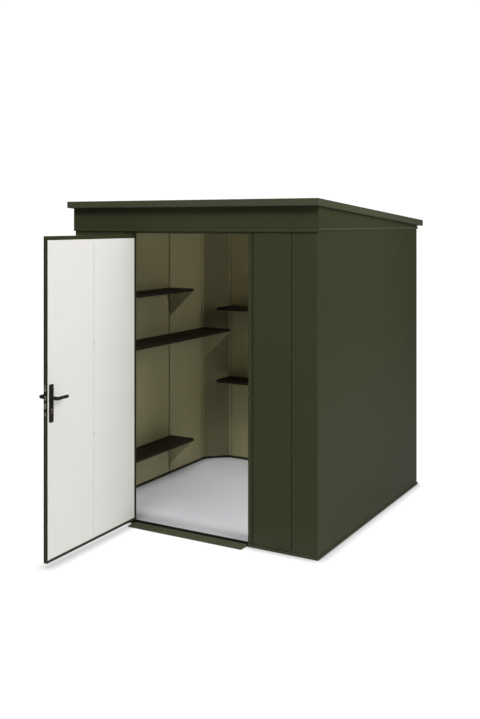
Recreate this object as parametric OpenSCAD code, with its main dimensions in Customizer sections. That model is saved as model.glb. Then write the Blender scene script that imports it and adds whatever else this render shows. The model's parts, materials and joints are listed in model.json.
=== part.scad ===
// Metal tool shed: double-skin steel walls, a low pent roof and one outward door.
// Millimetres, +Z up, origin on the ground at the middle of the footprint, door on the -Y side.

/* [Shed] */
// Width across the outer wall faces
shed_w = 1880; // [1700:5:2200]
// Depth across the outer wall faces
shed_d = 1850; // [1600:5:2200]
// Height of the walls, up to the fascia line
wall_h = 1997; // [1900:1:2100]
// Thickness of the double-skin wall
wall_t = 45; // [40:1:60]
// Width of the corner pieces on the front and back
corner_w = 176; // [150:1:200]
// Width of the slanted face inside each corner, along the walls
corner_slant = 158; // [120:1:160]
// Depth of the fascia band at the front, down from the roof
fascia_h = 158; // [120:1:180]
// How far the fascia stands out from the front wall
fascia_out = 7; // [4:1:12]

/* [Roof] */
// Fall of the roof from front to back, in degrees
roof_pitch = 3.7; // [2:0.1:6]
// Depth of the trim round the roof
trim_h = 45; // [35:1:60]
// Overhang at the front
over_front = 54; // [30:1:70]
// Overhang at each side
over_side = 29; // [20:1:45]
// Overhang at the back
over_back = 62; // [40:1:90]

/* [Base] */
// Height of the rail under the walls
rail_h = 16; // [14:1:30]
// How far the rail stands out from the wall
rail_out = 6; // [3:1:8]
// Thickness of the floor sheet
floor_t = 5; // [4:1:10]
// Length of the entry ramp in front of the wall
ramp_run = 74; // [50:1:100]

/* [Door] */
// Clear width between the jambs
door_clear = 913; // [800:1:1000]
// Height of the underside of the door head
head_z = 1972; // [1850:1:1975]
// Width of the jamb faces
jamb_w = 27; // [22:1:40]
// Thickness of the door leaf
leaf_t = 29; // [25:1:30]
// Gap at the hinge side of the leaf
gap_hinge = 6; // [5:0.5:8]
// Gap at the lock side and the top of the leaf
gap_lock = 8; // [7:0.5:10]
// Height of the leaf's lower edge
leaf_foot = 29; // [22:1:30]
// Angle at which the door stands open
door_open = 88.5; // [60:0.5:100]
// Height of the lever handle
lever_z = 1004; // [950:1:1060]
// Distance of the handle from the lock edge of the leaf
backset = 33; // [30:1:60]
// Height of the handle plates
plate_h = 226; // [200:1:240]

/* [Shelves] */
// Depth of the shelves
shelf_d = 220; // [180:5:260]
// Depth of the middle shelf on the left wall
wide_shelf_d = 268; // [220:1:300]
// Thickness of the shelf fronts
shelf_t = 22; // [18:1:35]
// Top of the highest shelf on the left wall
left_shelf_top = 1517; // [1400:1:1600]
// Top of the higher shelf on the back wall
back_shelf_top = 1325; // [1200:1:1400]

/* [Hidden] */
$fn = 48;
olive = [0.22, 0.24, 0.17];
trim_olive = [0.28, 0.29, 0.22];
cream = [0.87, 0.86, 0.80];
pale_grey = [0.70, 0.70, 0.71];
dark_grey = [0.17, 0.15, 0.16];
black = [0.08, 0.08, 0.08];
steel = [0.66, 0.66, 0.64];

// walls: outer and inner skins meet half way through, and the inner joints are lapped inwards
half_w = shed_w / 2;
half_d = shed_d / 2;
skin_t = wall_t / 2;
lap = 54;               // inner joints lie this much further from the corner than outer ones
joint_gap = 1.5;        // open line between two neighbouring sheets
lining_gap = 9;         // wider open joint between the lining sheets of the side walls
inner_corner = corner_w + lap;
panel_pitch = 504;      // width of the inner wall sheets, counted from the back corner
slant_start = wall_t + corner_slant;

// roof
roof_fall = tan(roof_pitch);
fascia_drop = 11;       // the fascia plate hangs this far below the wall line
function roof_under(y) = wall_h + fascia_h - fascia_drop - (y + half_d) * roof_fall;
roof_sheet_in = 2;      // the roof sheet lies this far below the top of its trim
seat_gap = 0.1;         // bedding line under the roof sheet
gable_out = 3;
hem_out = 2.5;          // folded lower edge of the fascia and gables
hem_h = 16;

// door, designed closed and then swung about its hinge pins
open_l = -door_clear / 2;
open_r = door_clear / 2;
pin_r = 4;
knuckle_r = 8;
pin_out = 9;            // the pins stand this far in front of the wall
pin_x = open_l + gap_hinge / 2;
pin_y = -half_d - pin_out;
leaf_x0 = open_l + gap_hinge - pin_x;
leaf_x1 = open_r - gap_lock - pin_x;
leaf_y0 = pin_out;                    // outer face of the leaf, level with the wall when closed
leaf_top = head_z - gap_lock;
leaf_skin = 4;
stile_w = 3;
rail_w = 18;
leaf_mid = (leaf_x0 + leaf_x1) / 2;
hinge_zs = [260, 990, 1720];
hinge_h = 90;
hinge_plate_t = 2.5;
hinge_plate_w = 22;
handle_x = leaf_x1 - backset;
stop_t = 9;
stop_w = 15;
bore_fit = 0.05;

module at_door() translate([pin_x, pin_y, 0]) rotate([0, 0, -door_open]) children();

// a solid between two x values whose side view is a polygon of [y, z] points
module side_prism(x0, x1, points)
    translate([x0, 0, 0]) rotate([90, 0, 90]) linear_extrude(x1 - x0) polygon(points);

// upright sheet with a plan outline
module upright(z0, z1, points) translate([0, 0, z0]) linear_extrude(z1 - z0) polygon(points);

module block(low, high) translate(low) cube(high - low);

// ---------- base ----------
module floor_panel() color(pale_grey)
    block([-half_w + wall_t, -half_d + wall_t, 0], [half_w - wall_t, half_d - wall_t, floor_t]);
module base_rail_front() color(olive) for (s = [-1, 1])
    block([s > 0 ? open_r : -half_w - rail_out, -half_d - rail_out, 0],
          [s > 0 ? half_w + rail_out : open_l, -half_d + wall_t, rail_h]);
module side_rail(s) color(olive)
    block([s > 0 ? half_w - wall_t : -half_w - rail_out, -half_d + wall_t, 0],
          [s > 0 ? half_w + rail_out : -half_w + wall_t, half_d - wall_t, rail_h]);
module base_rail_back() color(olive)
    block([-half_w - rail_out, half_d - wall_t, 0], [half_w + rail_out, half_d + rail_out, rail_h]);
ramp_gap_hinge = 29;    // room beside the ramp under the open door
ramp_gap_lock = 8;
ramp_nose = 2.5;
ramp_top = 12.5;
ramp_cut = 5;           // the two front corners are cut off by this much
strip_up = 0.5;         // the black strip stands this far above the ramp
module entry_ramp() color(trim_olive) {
    nose_y = -half_d - ramp_run;
    x0 = open_l + ramp_gap_hinge;
    x1 = open_r - ramp_gap_lock;
    intersection() {
        side_prism(x0, x1, [[nose_y, 0], [-half_d, 0], [-half_d, ramp_top], [nose_y, ramp_nose]]);
        upright(-1, ramp_top + 1, [[x0, -half_d + 1], [x0, nose_y + ramp_cut], [x0 + ramp_cut, nose_y],
            [x1 - ramp_cut, nose_y], [x1, nose_y + ramp_cut], [x1, -half_d + 1]]);
    }
}
module threshold_strip() color(black)
    block([open_l, -half_d, 0], [open_r, -half_d + wall_t, ramp_top + strip_up]);

// ---------- walls ----------
// plan outline of a corner piece at the origin corner, walls running towards +X and +Y
corner_plan = [[0, 0], [corner_w, 0], [corner_w, skin_t], [inner_corner, skin_t],
    [inner_corner, wall_t], [slant_start, wall_t], [wall_t, slant_start], [wall_t, inner_corner],
    [skin_t, inner_corner], [skin_t, skin_t]];
module corner_post(sx, sy) color(olive) translate([sx * half_w, sy * half_d, 0])
    mirror([sx > 0 ? 1 : 0, 0, 0]) mirror([0, sy > 0 ? 1 : 0, 0])
        upright(rail_h, wall_h, corner_plan);
module side_outer(s) color(olive) mirror([s > 0 ? 1 : 0, 0, 0])
    upright(rail_h, wall_h, [[-half_w, -half_d], [-half_w + skin_t, -half_d + skin_t],
        [-half_w + skin_t, half_d - skin_t], [-half_w, half_d]]);
side_joints = [half_d - inner_corner, half_d - inner_corner - panel_pitch,
               half_d - inner_corner - 2 * panel_pitch, -half_d + inner_corner];
module side_inner(s) color(cream) for (i = [0:len(side_joints) - 2])
    block([s > 0 ? half_w - wall_t : -half_w + skin_t, side_joints[i + 1] + lining_gap / 2, rail_h],
          [s > 0 ? half_w - skin_t : -half_w + wall_t, side_joints[i] - lining_gap / 2, wall_h]);
module back_wall_outer() color(olive)
    block([-half_w + corner_w + joint_gap, half_d - skin_t, rail_h],
          [half_w - corner_w - joint_gap, half_d, wall_h]);
back_sheets = 3;
back_span = (shed_w - 2 * inner_corner) / back_sheets;
module back_wall_inner() color(cream) for (i = [0:back_sheets - 1])
    block([-half_w + inner_corner + i * back_span + joint_gap / 2, half_d - wall_t, rail_h],
          [-half_w + inner_corner + (i + 1) * back_span - joint_gap / 2, half_d - skin_t, wall_h]);
module front_wall(s) color(olive) mirror([s > 0 ? 1 : 0, 0, 0]) {
    outer_end = -half_w + corner_w + joint_gap;
    inner_end = -half_w + inner_corner + joint_gap;
    jamb_end = open_l - jamb_w - joint_gap;
    upright(rail_h, wall_h, [[outer_end, -half_d], [jamb_end, -half_d], [jamb_end, -half_d + wall_t],
        [inner_end, -half_d + wall_t], [inner_end, -half_d + skin_t], [outer_end, -half_d + skin_t]]);
}

// ---------- door frame ----------
strike_h = 160;
strike_t = 2;
strike_w = 24;
strike_in = 3;           // strike plate's setback from the front
lock_mid = lever_z - 10;   // middle of the lock case and of the strike
module jamb(s) color(olive) mirror([s > 0 ? 1 : 0, 0, 0]) difference() {
    union() {
        block([open_l - jamb_w, -half_d, rail_h], [open_l, -half_d + wall_t, wall_h]);
        block([open_l, -half_d + wall_t - stop_t, rail_h],
              [open_l + stop_w, -half_d + wall_t, head_z]);
    }
    if (s > 0) block([open_l - strike_t, -half_d + strike_in, lock_mid - strike_h / 2],
                     [open_l + 1, -half_d + strike_in + strike_w, lock_mid + strike_h / 2]);
}
module door_head() color(olive) block([open_l, -half_d, head_z], [open_r, -half_d + wall_t, wall_h]);
module strike_plate() color(steel)
    block([open_r, -half_d + strike_in, lock_mid - strike_h / 2],
          [open_r + strike_t, -half_d + strike_in + strike_w, lock_mid + strike_h / 2]);

// ---------- band above the walls ----------
module front_fascia() color(trim_olive) {
    face = -half_d - fascia_out;
    foot = wall_h - fascia_drop;
    side_prism(-half_w - fascia_out, half_w + fascia_out, [[face - hem_out, foot], [-half_d, foot],
        [-half_d, roof_under(-half_d)], [face, roof_under(face)],
        [face, foot + hem_h], [face - hem_out, foot + hem_h - hem_out]]);
    side_prism(-half_w + wall_t, half_w - wall_t, [[-half_d, wall_h], [-half_d + wall_t, wall_h],
         [-half_d + wall_t, roof_under(-half_d + wall_t)], [-half_d, roof_under(-half_d)]]);
}
module gable(s) color(olive) mirror([s > 0 ? 1 : 0, 0, 0])
    side_prism(-half_w - gable_out, -half_w + wall_t,
        [[-half_d, wall_h], [half_d, wall_h], [half_d, roof_under(half_d)], [-half_d, roof_under(-half_d)]]);
module back_top_rail() color(olive)
    side_prism(-half_w + wall_t, half_w - wall_t, [[half_d - wall_t, wall_h], [half_d, wall_h],
        [half_d, roof_under(half_d)], [half_d - wall_t, roof_under(half_d - wall_t)]]);

// ---------- roof ----------
function slope_quad(y0, y1, low, high) = [[y0, roof_under(y0) + low], [y1, roof_under(y1) + low],
    [y1, roof_under(y1) + high], [y0, roof_under(y0) + high]];
module roof_panel() color(trim_olive)
    side_prism(-half_w - gable_out, half_w + gable_out,
        slope_quad(-half_d - fascia_out, half_d, seat_gap, trim_h - roof_sheet_in));
module trim_end(y0, y1) color(trim_olive)
    side_prism(-half_w - over_side, half_w + over_side, slope_quad(y0, y1, 0, trim_h));
module roof_trim_side(s) color(trim_olive) mirror([s > 0 ? 1 : 0, 0, 0])
    side_prism(-half_w - over_side, -half_w - gable_out, slope_quad(-half_d - fascia_out, half_d, 0, trim_h));

// ---------- shelves ----------
bracket_t = 3;
left_face = -half_w + wall_t;
back_face = half_d - wall_t;
left_tops = [left_shelf_top, left_shelf_top - 373, left_shelf_top - 1201];
left_depths = [shelf_d, wide_shelf_d, shelf_d];
back_step = 613;
back_tops = [back_shelf_top, back_shelf_top - back_step];
left_end_short = side_joints[1] + 22;   // the end plate stands clear of the joint
left_end_long = half_d - slant_start - 5;
left_front = -half_d + slant_start + 5;
left_ends = [left_end_short, left_end_long, left_end_short];
back_inset = 6;
back_x0 = -half_w + slant_start + back_inset;
back_x1 = half_w - slant_start - back_inset;
back_bracket_in = 350;   // the back shelves' brackets stand this far in from each end
lip = 3;
// folded shelf tray: flat top with a turned-down front lip
module shelf_side(i) color(dark_grey) {
    front = left_face + left_depths[i];
    block([left_face, left_front, left_tops[i] - lip], [front, left_ends[i], left_tops[i]]);
    block([front - lip, left_front, left_tops[i] - shelf_t], [front, left_ends[i], left_tops[i] - lip]);
}
module shelf_rear(i) color(dark_grey) {
    block([back_x0, back_face - shelf_d, back_tops[i] - lip], [back_x1, back_face, back_tops[i]]);
    block([back_x0, back_face - shelf_d, back_tops[i] - shelf_t],
          [back_x1, back_face - shelf_d + lip, back_tops[i] - lip]);
}
// triangular end plate under a shelf of depth d, wall on its left
module bracket(d) rotate([90, 0, 0]) linear_extrude(bracket_t)
    polygon([[0, 0], [d - lip, 0], [d - lip, lip - shelf_t], [0, -d]]);
module shelf_brackets_left() color(cream) for (i = [0:2], y = [left_front + bracket_t, left_ends[i]])
    translate([left_face, y, left_tops[i] - lip]) bracket(left_depths[i]);
module shelf_brackets_back() color(cream)
    for (i = [0:1], x = [back_x0 + back_bracket_in, back_x1 - back_bracket_in - bracket_t])
    translate([x, back_face, back_tops[i] - lip]) rotate([0, 0, -90]) bracket(shelf_d);

// ---------- hinges ----------
knuckle_gap = 1;
module hinge_jamb_halves() color(olive) for (z = hinge_zs) translate([pin_x, pin_y, z]) {
    cylinder(r = knuckle_r, h = hinge_h / 2);
    cylinder(r = pin_r, h = hinge_h - 4);
    block([-knuckle_r - hinge_plate_w, pin_out - hinge_plate_t, 0], [0, pin_out, hinge_h / 2]);
}
module hinge_door_halves() color(olive) at_door()
    for (z = hinge_zs) translate([0, 0, z + hinge_h / 2 + knuckle_gap]) difference() {
        union() {
            cylinder(r = knuckle_r, h = hinge_h / 2 - knuckle_gap);
            block([0, pin_out - hinge_plate_t, 0],
                  [knuckle_r + hinge_plate_w, pin_out, hinge_h / 2 - knuckle_gap]);
        }
        translate([0, 0, -1]) cylinder(r = pin_r + bore_fit, h = hinge_h / 2 - knuckle_gap - 2);
    }

// ---------- door leaf ----------
inner_y = leaf_y0 + leaf_t;
neck_hole_r = 10.5;
cylinder_r = 8.5;
cylinder_fit = 0.3;
key_drop = 72;
module leaf_hole(z, r) translate([handle_x, leaf_y0 - 5, z]) rotate([-90, 0, 0])
    cylinder(r = r, h = leaf_t + 10);
module lock_holes() {
    leaf_hole(lever_z, neck_hole_r);
    leaf_hole(lever_z - key_drop, cylinder_r + cylinder_fit);
}
module door_outer_skin() color(olive) at_door() difference() {
    block([leaf_x0, leaf_y0, leaf_foot], [leaf_x1, leaf_y0 + leaf_skin, leaf_top]);
    lock_holes();
}
module door_stiles() color(olive) at_door() for (x = [leaf_x0, leaf_x1 - stile_w])
    block([x, leaf_y0 + leaf_skin, leaf_foot], [x + stile_w, inner_y, leaf_top]);
module door_rails() color(olive) at_door() for (z = [leaf_foot, leaf_top - rail_w])
    block([leaf_x0 + stile_w, leaf_y0 + leaf_skin, z], [leaf_x1 - stile_w, inner_y, z + rail_w]);
module inner_sheet(x0, x1) color(cream) at_door() difference() {
    block([x0, leaf_y0 + leaf_skin, leaf_foot + rail_w], [x1, inner_y, leaf_top - rail_w]);
    lock_holes();
}
hinge_sheet_x = [leaf_x0 + stile_w, leaf_mid - joint_gap / 2];
lock_sheet_x = [leaf_mid + joint_gap / 2, leaf_x1 - stile_w];
faceplate_t = 2;
faceplate_w = 19;
faceplate_h = 220;
module lock_faceplate() color(steel) at_door()
    block([leaf_x1, leaf_y0 + leaf_t / 2 - faceplate_w / 2, lock_mid - faceplate_h / 2],
          [leaf_x1 + faceplate_t, leaf_y0 + leaf_t / 2 + faceplate_w / 2, lock_mid + faceplate_h / 2]);
plate_w = 38;
plate_t = 6;
plate_drop = 32;
plate_corner = 6;
module plate_outline() union() {
    inner_w = plate_w - 2 * plate_corner;
    inner_h = plate_h - 2 * plate_corner;
    square([inner_w, plate_h], center = true);
    square([plate_w, inner_h], center = true);
    for (x = [-1, 1], z = [-1, 1]) translate([x * inner_w / 2, z * inner_h / 2]) circle(r = plate_corner);
}
module backplate(y) translate([handle_x, y, lever_z - plate_drop]) rotate([90, 0, 0]) difference() {
    linear_extrude(plate_t) plate_outline();
    translate([0, plate_drop, -1]) cylinder(r = neck_hole_r, h = plate_t + 2);
    translate([0, plate_drop - key_drop, -1]) cylinder(r = cylinder_r + cylinder_fit, h = plate_t + 2);
}
module lock_backplates() color(black) at_door() {
    backplate(leaf_y0);
    backplate(inner_y + plate_t);
}
module lock_cylinder() color(steel) at_door()
    translate([handle_x, leaf_y0 - plate_t - 2, lever_z - key_drop]) rotate([-90, 0, 0])
        cylinder(r = cylinder_r, h = leaf_t + 2 * plate_t + 4);

// ---------- levers ----------
lever_out = 56;
lever_len = 92;
lever_r = 10;
neck_r = 10;
// one lever: neck standing out of the plate and grip along -x
module lever(side) {
    face = side > 0 ? inner_y : leaf_y0;
    translate([handle_x, face, lever_z]) {
        rotate([-90 * side, 0, 0]) cylinder(r = neck_r, h = plate_t + lever_out);
        translate([0, side * (plate_t + lever_out - lever_r), 0]) rotate([0, -90, 0])
            cylinder(r = lever_r, h = lever_len);
    }
}
spindle_r = 4;
module lever_inside() color(black) at_door() {
    lever(1);
    translate([handle_x, leaf_y0, lever_z]) rotate([-90, 0, 0]) cylinder(r = spindle_r, h = leaf_t + 1);
}
module lever_outside() color(black) at_door() lever(-1);

floor_panel();
base_rail_front();
side_rail(-1);  // base_rail_left
side_rail(1);  // base_rail_right
base_rail_back();
entry_ramp();
threshold_strip();
corner_post(-1, -1);  // corner_post_front_left
corner_post(1, -1);  // corner_post_front_right
corner_post(-1, 1);  // corner_post_back_left
corner_post(1, 1);  // corner_post_back_right
side_outer(-1);  // left_wall_outer
side_inner(-1);  // left_wall_inner
side_outer(1);  // right_wall_outer
side_inner(1);  // right_wall_inner
back_wall_outer();
back_wall_inner();
front_wall(-1);  // front_wall_left
front_wall(1);  // front_wall_right
jamb(-1);  // door_jamb_left
jamb(1);  // door_jamb_right
door_head();
front_fascia();
gable(-1);  // gable_left
gable(1);  // gable_right
back_top_rail();
roof_panel();
trim_end(-half_d - over_front, -half_d - fascia_out);  // roof_trim_front
trim_end(half_d, half_d + over_back);  // roof_trim_back
roof_trim_side(-1);  // roof_trim_left
roof_trim_side(1);  // roof_trim_right
shelf_side(0);  // shelf_left_upper
shelf_side(1);  // shelf_left_middle
shelf_side(2);  // shelf_left_lower
shelf_rear(0);  // shelf_back_upper
shelf_rear(1);  // shelf_back_lower
shelf_brackets_left();
shelf_brackets_back();
strike_plate();
hinge_jamb_halves();
door_outer_skin();
door_stiles();
door_rails();
inner_sheet(hinge_sheet_x[0], hinge_sheet_x[1]);  // door_inner_sheet_hinge
inner_sheet(lock_sheet_x[0], lock_sheet_x[1]);  // door_inner_sheet_lock
lock_faceplate();
lock_backplates();
lock_cylinder();
hinge_door_halves();
lever_inside();
lever_outside();
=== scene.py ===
import json
import math
import random

import bmesh
import bpy
from mathutils import Matrix, Vector


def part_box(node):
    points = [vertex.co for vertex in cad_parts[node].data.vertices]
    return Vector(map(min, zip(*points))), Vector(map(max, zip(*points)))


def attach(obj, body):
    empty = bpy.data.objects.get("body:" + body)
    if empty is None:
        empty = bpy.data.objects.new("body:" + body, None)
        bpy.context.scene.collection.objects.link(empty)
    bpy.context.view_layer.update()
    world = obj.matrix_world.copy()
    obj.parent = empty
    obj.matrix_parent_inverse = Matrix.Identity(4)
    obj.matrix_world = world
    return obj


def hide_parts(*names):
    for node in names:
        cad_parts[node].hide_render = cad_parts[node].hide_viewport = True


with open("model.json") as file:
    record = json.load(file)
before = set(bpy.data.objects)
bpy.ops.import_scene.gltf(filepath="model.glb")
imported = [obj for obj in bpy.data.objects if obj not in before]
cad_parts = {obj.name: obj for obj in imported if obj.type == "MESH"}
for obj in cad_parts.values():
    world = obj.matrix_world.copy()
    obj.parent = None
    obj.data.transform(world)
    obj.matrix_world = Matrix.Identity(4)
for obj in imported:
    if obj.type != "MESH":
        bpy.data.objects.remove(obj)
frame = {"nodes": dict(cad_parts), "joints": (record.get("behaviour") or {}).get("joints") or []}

random.seed(7)    # the screws are turned alike on each run

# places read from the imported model
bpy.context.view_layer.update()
nodes = frame["nodes"]
skinLow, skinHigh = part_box("right_wall_outer")
halfW = skinHigh.x
frontY = skinLow.y
backY = skinHigh.y
railTop = skinLow.z
wallTop = skinHigh.z
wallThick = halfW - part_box("right_wall_inner")[0].x
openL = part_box("threshold_strip")[0].x
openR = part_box("threshold_strip")[1].x
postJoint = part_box("back_wall_outer")[1].x
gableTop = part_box("gable_right")[1].z
roofFall = (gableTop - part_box("back_top_rail")[1].z) / (backY - wallThick - frontY)
swing = [j for j in frame["joints"] if j["name"] == "door_swing"][0]
pin = Vector((swing["pos_m"][0], swing["pos_m"][1], 0))
openAngle = math.radians(swing["range_deg"][1])
leafPlace = Matrix.Translation(pin) @ Matrix.Rotation(-openAngle, 4, "Z")


def roofUnder(y):
    return gableTop - (y - frontY) * roofFall


# a door node's box measured with the door shut, from the hinge pin
def shutBox(node):
    back = leafPlace.inverted()
    spots = [back @ v.co for v in nodes[node].data.vertices]
    low = Vector([min(s[i] for s in spots) for i in range(3)])
    high = Vector([max(s[i] for s in spots) for i in range(3)])
    return low, high


# ---- effects shared by the finishes, one node group each ----
def startGroup(name, inputs, outputs):
    group = bpy.data.node_groups.new(name, "ShaderNodeTree")
    for label, kind, value in inputs:
        socket = group.interface.new_socket(name=label, in_out="INPUT", socket_type=kind)
        if value is not None:
            socket.default_value = value
    for label, kind in outputs:
        group.interface.new_socket(name=label, in_out="OUTPUT", socket_type=kind)
    return group, group.nodes.new("NodeGroupInput"), group.nodes.new("NodeGroupOutput")


def putNode(tree, kind, **values):
    made = tree.nodes.new(kind)
    for key, value in values.items():
        setattr(made, key, value)
    return made


# sets the nodes out in columns, each to the right of what feeds it
def layOut(tree):
    column = {made.name: 0 for made in tree.nodes}
    for _ in range(len(tree.nodes)):
        for link in tree.links:
            one, two = link.from_node.name, link.to_node.name
            column[two] = max(column[two], column[one] + 1)
    rows = {}
    for made in tree.nodes:
        spot = column[made.name]
        rows[spot] = rows.get(spot, 0) + 1
        made.location = (240 * spot, -260 * rows[spot])


def feed(tree, socket, value):
    if isinstance(value, bpy.types.NodeSocket):
        tree.links.new(value, socket)
    else:
        socket.default_value = value


def sums(tree, operation, a, b=None, clamp=False):
    made = putNode(tree, "ShaderNodeMath", operation=operation, use_clamp=clamp)
    feed(tree, made.inputs[0], a)
    if b is not None:
        feed(tree, made.inputs[1], b)
    return made.outputs[0]


def blendColours(tree, share, a, b, kind="MIX"):
    made = putNode(tree, "ShaderNodeMix", data_type="RGBA", blend_type=kind)
    feed(tree, made.inputs[0], share)
    feed(tree, made.inputs[6], a)
    feed(tree, made.inputs[7], b)
    return made.outputs[2]


def speckle(tree, place, scale, detail=2.0, rough=0.5):
    made = putNode(tree, "ShaderNodeTexNoise")
    feed(tree, made.inputs["Vector"], place)
    feed(tree, made.inputs["Scale"], scale)
    made.inputs["Detail"].default_value = detail
    made.inputs["Roughness"].default_value = rough
    return made.outputs["Fac"]


def spreadOut(tree, value, low, high, toLow=0.0, toHigh=1.0):
    made = putNode(tree, "ShaderNodeMapRange")
    feed(tree, made.inputs["Value"], value)
    feed(tree, made.inputs["From Min"], low)
    feed(tree, made.inputs["From Max"], high)
    feed(tree, made.inputs["To Min"], toLow)
    feed(tree, made.inputs["To Max"], toHigh)
    return made.outputs["Result"]


# stretches a place so that marks run long in z, as roll marks do
def stretched(tree, place, amounts):
    made = putNode(tree, "ShaderNodeVectorMath", operation="MULTIPLY")
    feed(tree, made.inputs[0], place)
    made.inputs[1].default_value = amounts
    return made.outputs["Vector"]


def buildPaintSkin():
    group, source, target = startGroup(
        "paintSkin",
        [("Place", "NodeSocketVector", None), ("Grain Scale", "NodeSocketFloat", 700.0),
         ("Grain", "NodeSocketFloat", 0.5), ("Wave", "NodeSocketFloat", 0.5)],
        [("Height", "NodeSocketFloat")])
    place = source.outputs["Place"]
    grain = speckle(group, place, source.outputs["Grain Scale"], 1.0)
    grain = sums(group, "MULTIPLY", grain, source.outputs["Grain"])
    long = stretched(group, place, (1.0, 1.0, 0.35))
    wave = speckle(group, long, 3.2, 1.0)
    wave = sums(group, "MULTIPLY", wave, source.outputs["Wave"])
    wave = sums(group, "MULTIPLY", wave, 14.0)
    total = sums(group, "ADD", grain, wave)
    group.links.new(total, target.inputs["Height"])
    return group


def buildPaintTone():
    group, source, target = startGroup(
        "paintTone",
        [("Place", "NodeSocketVector", None), ("Colour", "NodeSocketColor", (0.5, 0.5, 0.5, 1)),
         ("Patch", "NodeSocketFloat", 0.1), ("Fleck", "NodeSocketFloat", 0.05)],
        [("Colour", "NodeSocketColor"), ("Roughness Shift", "NodeSocketFloat")])
    place = source.outputs["Place"]
    patch = speckle(group, place, 1.7, 3.0, 0.55)
    patch = spreadOut(group, patch, 0.3, 0.7, -1.0, 1.0)
    long = stretched(group, place, (9.0, 9.0, 0.6))
    streak = speckle(group, long, 2.4, 2.0)
    streak = spreadOut(group, streak, 0.3, 0.7, -0.5, 0.5)
    fleck = speckle(group, place, 420.0, 2.0, 0.7)
    fleck = spreadOut(group, fleck, 0.3, 0.7, -1.0, 1.0)
    big = sums(group, "ADD", patch, streak)
    big = sums(group, "MULTIPLY", big, source.outputs["Patch"])
    small = sums(group, "MULTIPLY", fleck, source.outputs["Fleck"])
    shift = sums(group, "ADD", big, small)
    level = sums(group, "ADD", shift, 1.0)
    scaled = putNode(group, "ShaderNodeVectorMath", operation="SCALE")
    group.links.new(source.outputs["Colour"], scaled.inputs[0])
    group.links.new(level, scaled.inputs["Scale"])
    group.links.new(scaled.outputs["Vector"], target.inputs["Colour"])
    group.links.new(shift, target.inputs["Roughness Shift"])
    return group


# 1 along sharp edges and folds, broken up by noise; the finishes paint these edges lighter, a painted highlight
# with a little wear
def buildEdgeWearAndHighlight():
    group, source, target = startGroup(
        "edgeWearAndHighlight",
        [("Place", "NodeSocketVector", None), ("Width", "NodeSocketFloat", 0.002),
         ("Break", "NodeSocketFloat", 90.0)],
        [("Mask", "NodeSocketFloat")])
    bent = putNode(group, "ShaderNodeBevel", samples=4)
    group.links.new(source.outputs["Width"], bent.inputs["Radius"])
    flat = putNode(group, "ShaderNodeNewGeometry")
    dot = putNode(group, "ShaderNodeVectorMath", operation="DOT_PRODUCT")
    group.links.new(bent.outputs["Normal"], dot.inputs[0])
    group.links.new(flat.outputs["Normal"], dot.inputs[1])
    edge = spreadOut(group, dot.outputs["Value"], 0.995, 0.88, 0.0, 1.0)
    broken = speckle(group, source.outputs["Place"], source.outputs["Break"], 3.0, 0.6)
    broken = spreadOut(group, broken, 0.35, 0.65, 0.35, 1.0)
    mask = sums(group, "MULTIPLY", edge, broken, clamp=True)
    group.links.new(mask, target.inputs["Mask"])
    return group


# dust that settles on level faces and low down on upright ones
def buildDustFilm():
    group, source, target = startGroup(
        "dustFilm",
        [("Place", "NodeSocketVector", None), ("Splash Height", "NodeSocketFloat", 0.22)],
        [("Mask", "NodeSocketFloat")])
    parts = putNode(group, "ShaderNodeSeparateXYZ")
    group.links.new(source.outputs["Place"], parts.inputs[0])
    low = spreadOut(group, parts.outputs["Z"], source.outputs["Splash Height"], 0.0)
    low = sums(group, "POWER", low, 2.0)
    facing = putNode(group, "ShaderNodeNewGeometry")
    tilt = putNode(group, "ShaderNodeSeparateXYZ")
    group.links.new(facing.outputs["True Normal"], tilt.inputs[0])
    level = spreadOut(group, tilt.outputs["Z"], 0.5, 1.0)
    both = sums(group, "MAXIMUM", low, level)
    cloud = speckle(group, source.outputs["Place"], 9.0, 6.0, 0.65)
    cloud = spreadOut(group, cloud, 0.3, 0.75)
    mask = sums(group, "MULTIPLY", both, cloud, clamp=True)
    group.links.new(mask, target.inputs["Mask"])
    return group


# 1 on faces that look into the room, 0 on the outside of the shed
def buildRoomSide():
    group, source, target = startGroup(
        "roomSide",
        [("Place", "NodeSocketVector", None), ("Half Width", "NodeSocketFloat", 1.0),
         ("Half Depth", "NodeSocketFloat", 1.0)],
        [("Mask", "NodeSocketFloat")])
    parts = putNode(group, "ShaderNodeSeparateXYZ")
    group.links.new(source.outputs["Place"], parts.inputs[0])
    acrossX = sums(group, "ABSOLUTE", parts.outputs["X"])
    acrossY = sums(group, "ABSOLUTE", parts.outputs["Y"])
    inX = sums(group, "LESS_THAN", acrossX, source.outputs["Half Width"])
    inY = sums(group, "LESS_THAN", acrossY, source.outputs["Half Depth"])
    facing = putNode(group, "ShaderNodeNewGeometry")
    tilt = putNode(group, "ShaderNodeSeparateXYZ")
    group.links.new(facing.outputs["True Normal"], tilt.inputs[0])
    down = sums(group, "LESS_THAN", tilt.outputs["Z"], 0.5)
    mask = sums(group, "MULTIPLY", inX, inY)
    mask = sums(group, "MULTIPLY", mask, down)
    group.links.new(mask, target.inputs["Mask"])
    return group


# fine lines left by rolling or brushing bare metal
def buildBrushLines():
    group, source, target = startGroup(
        "brushLines",
        [("Place", "NodeSocketVector", None), ("Scale", "NodeSocketFloat", 60.0)],
        [("Height", "NodeSocketFloat"), ("Tone", "NodeSocketFloat")])
    long = stretched(group, source.outputs["Place"], (22.0, 22.0, 1.0))
    lines = speckle(group, long, source.outputs["Scale"], 3.0, 0.6)
    tone = spreadOut(group, lines, 0.3, 0.7, -0.12, 0.12)
    group.links.new(lines, target.inputs["Height"])
    group.links.new(tone, target.inputs["Tone"])
    return group


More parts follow.
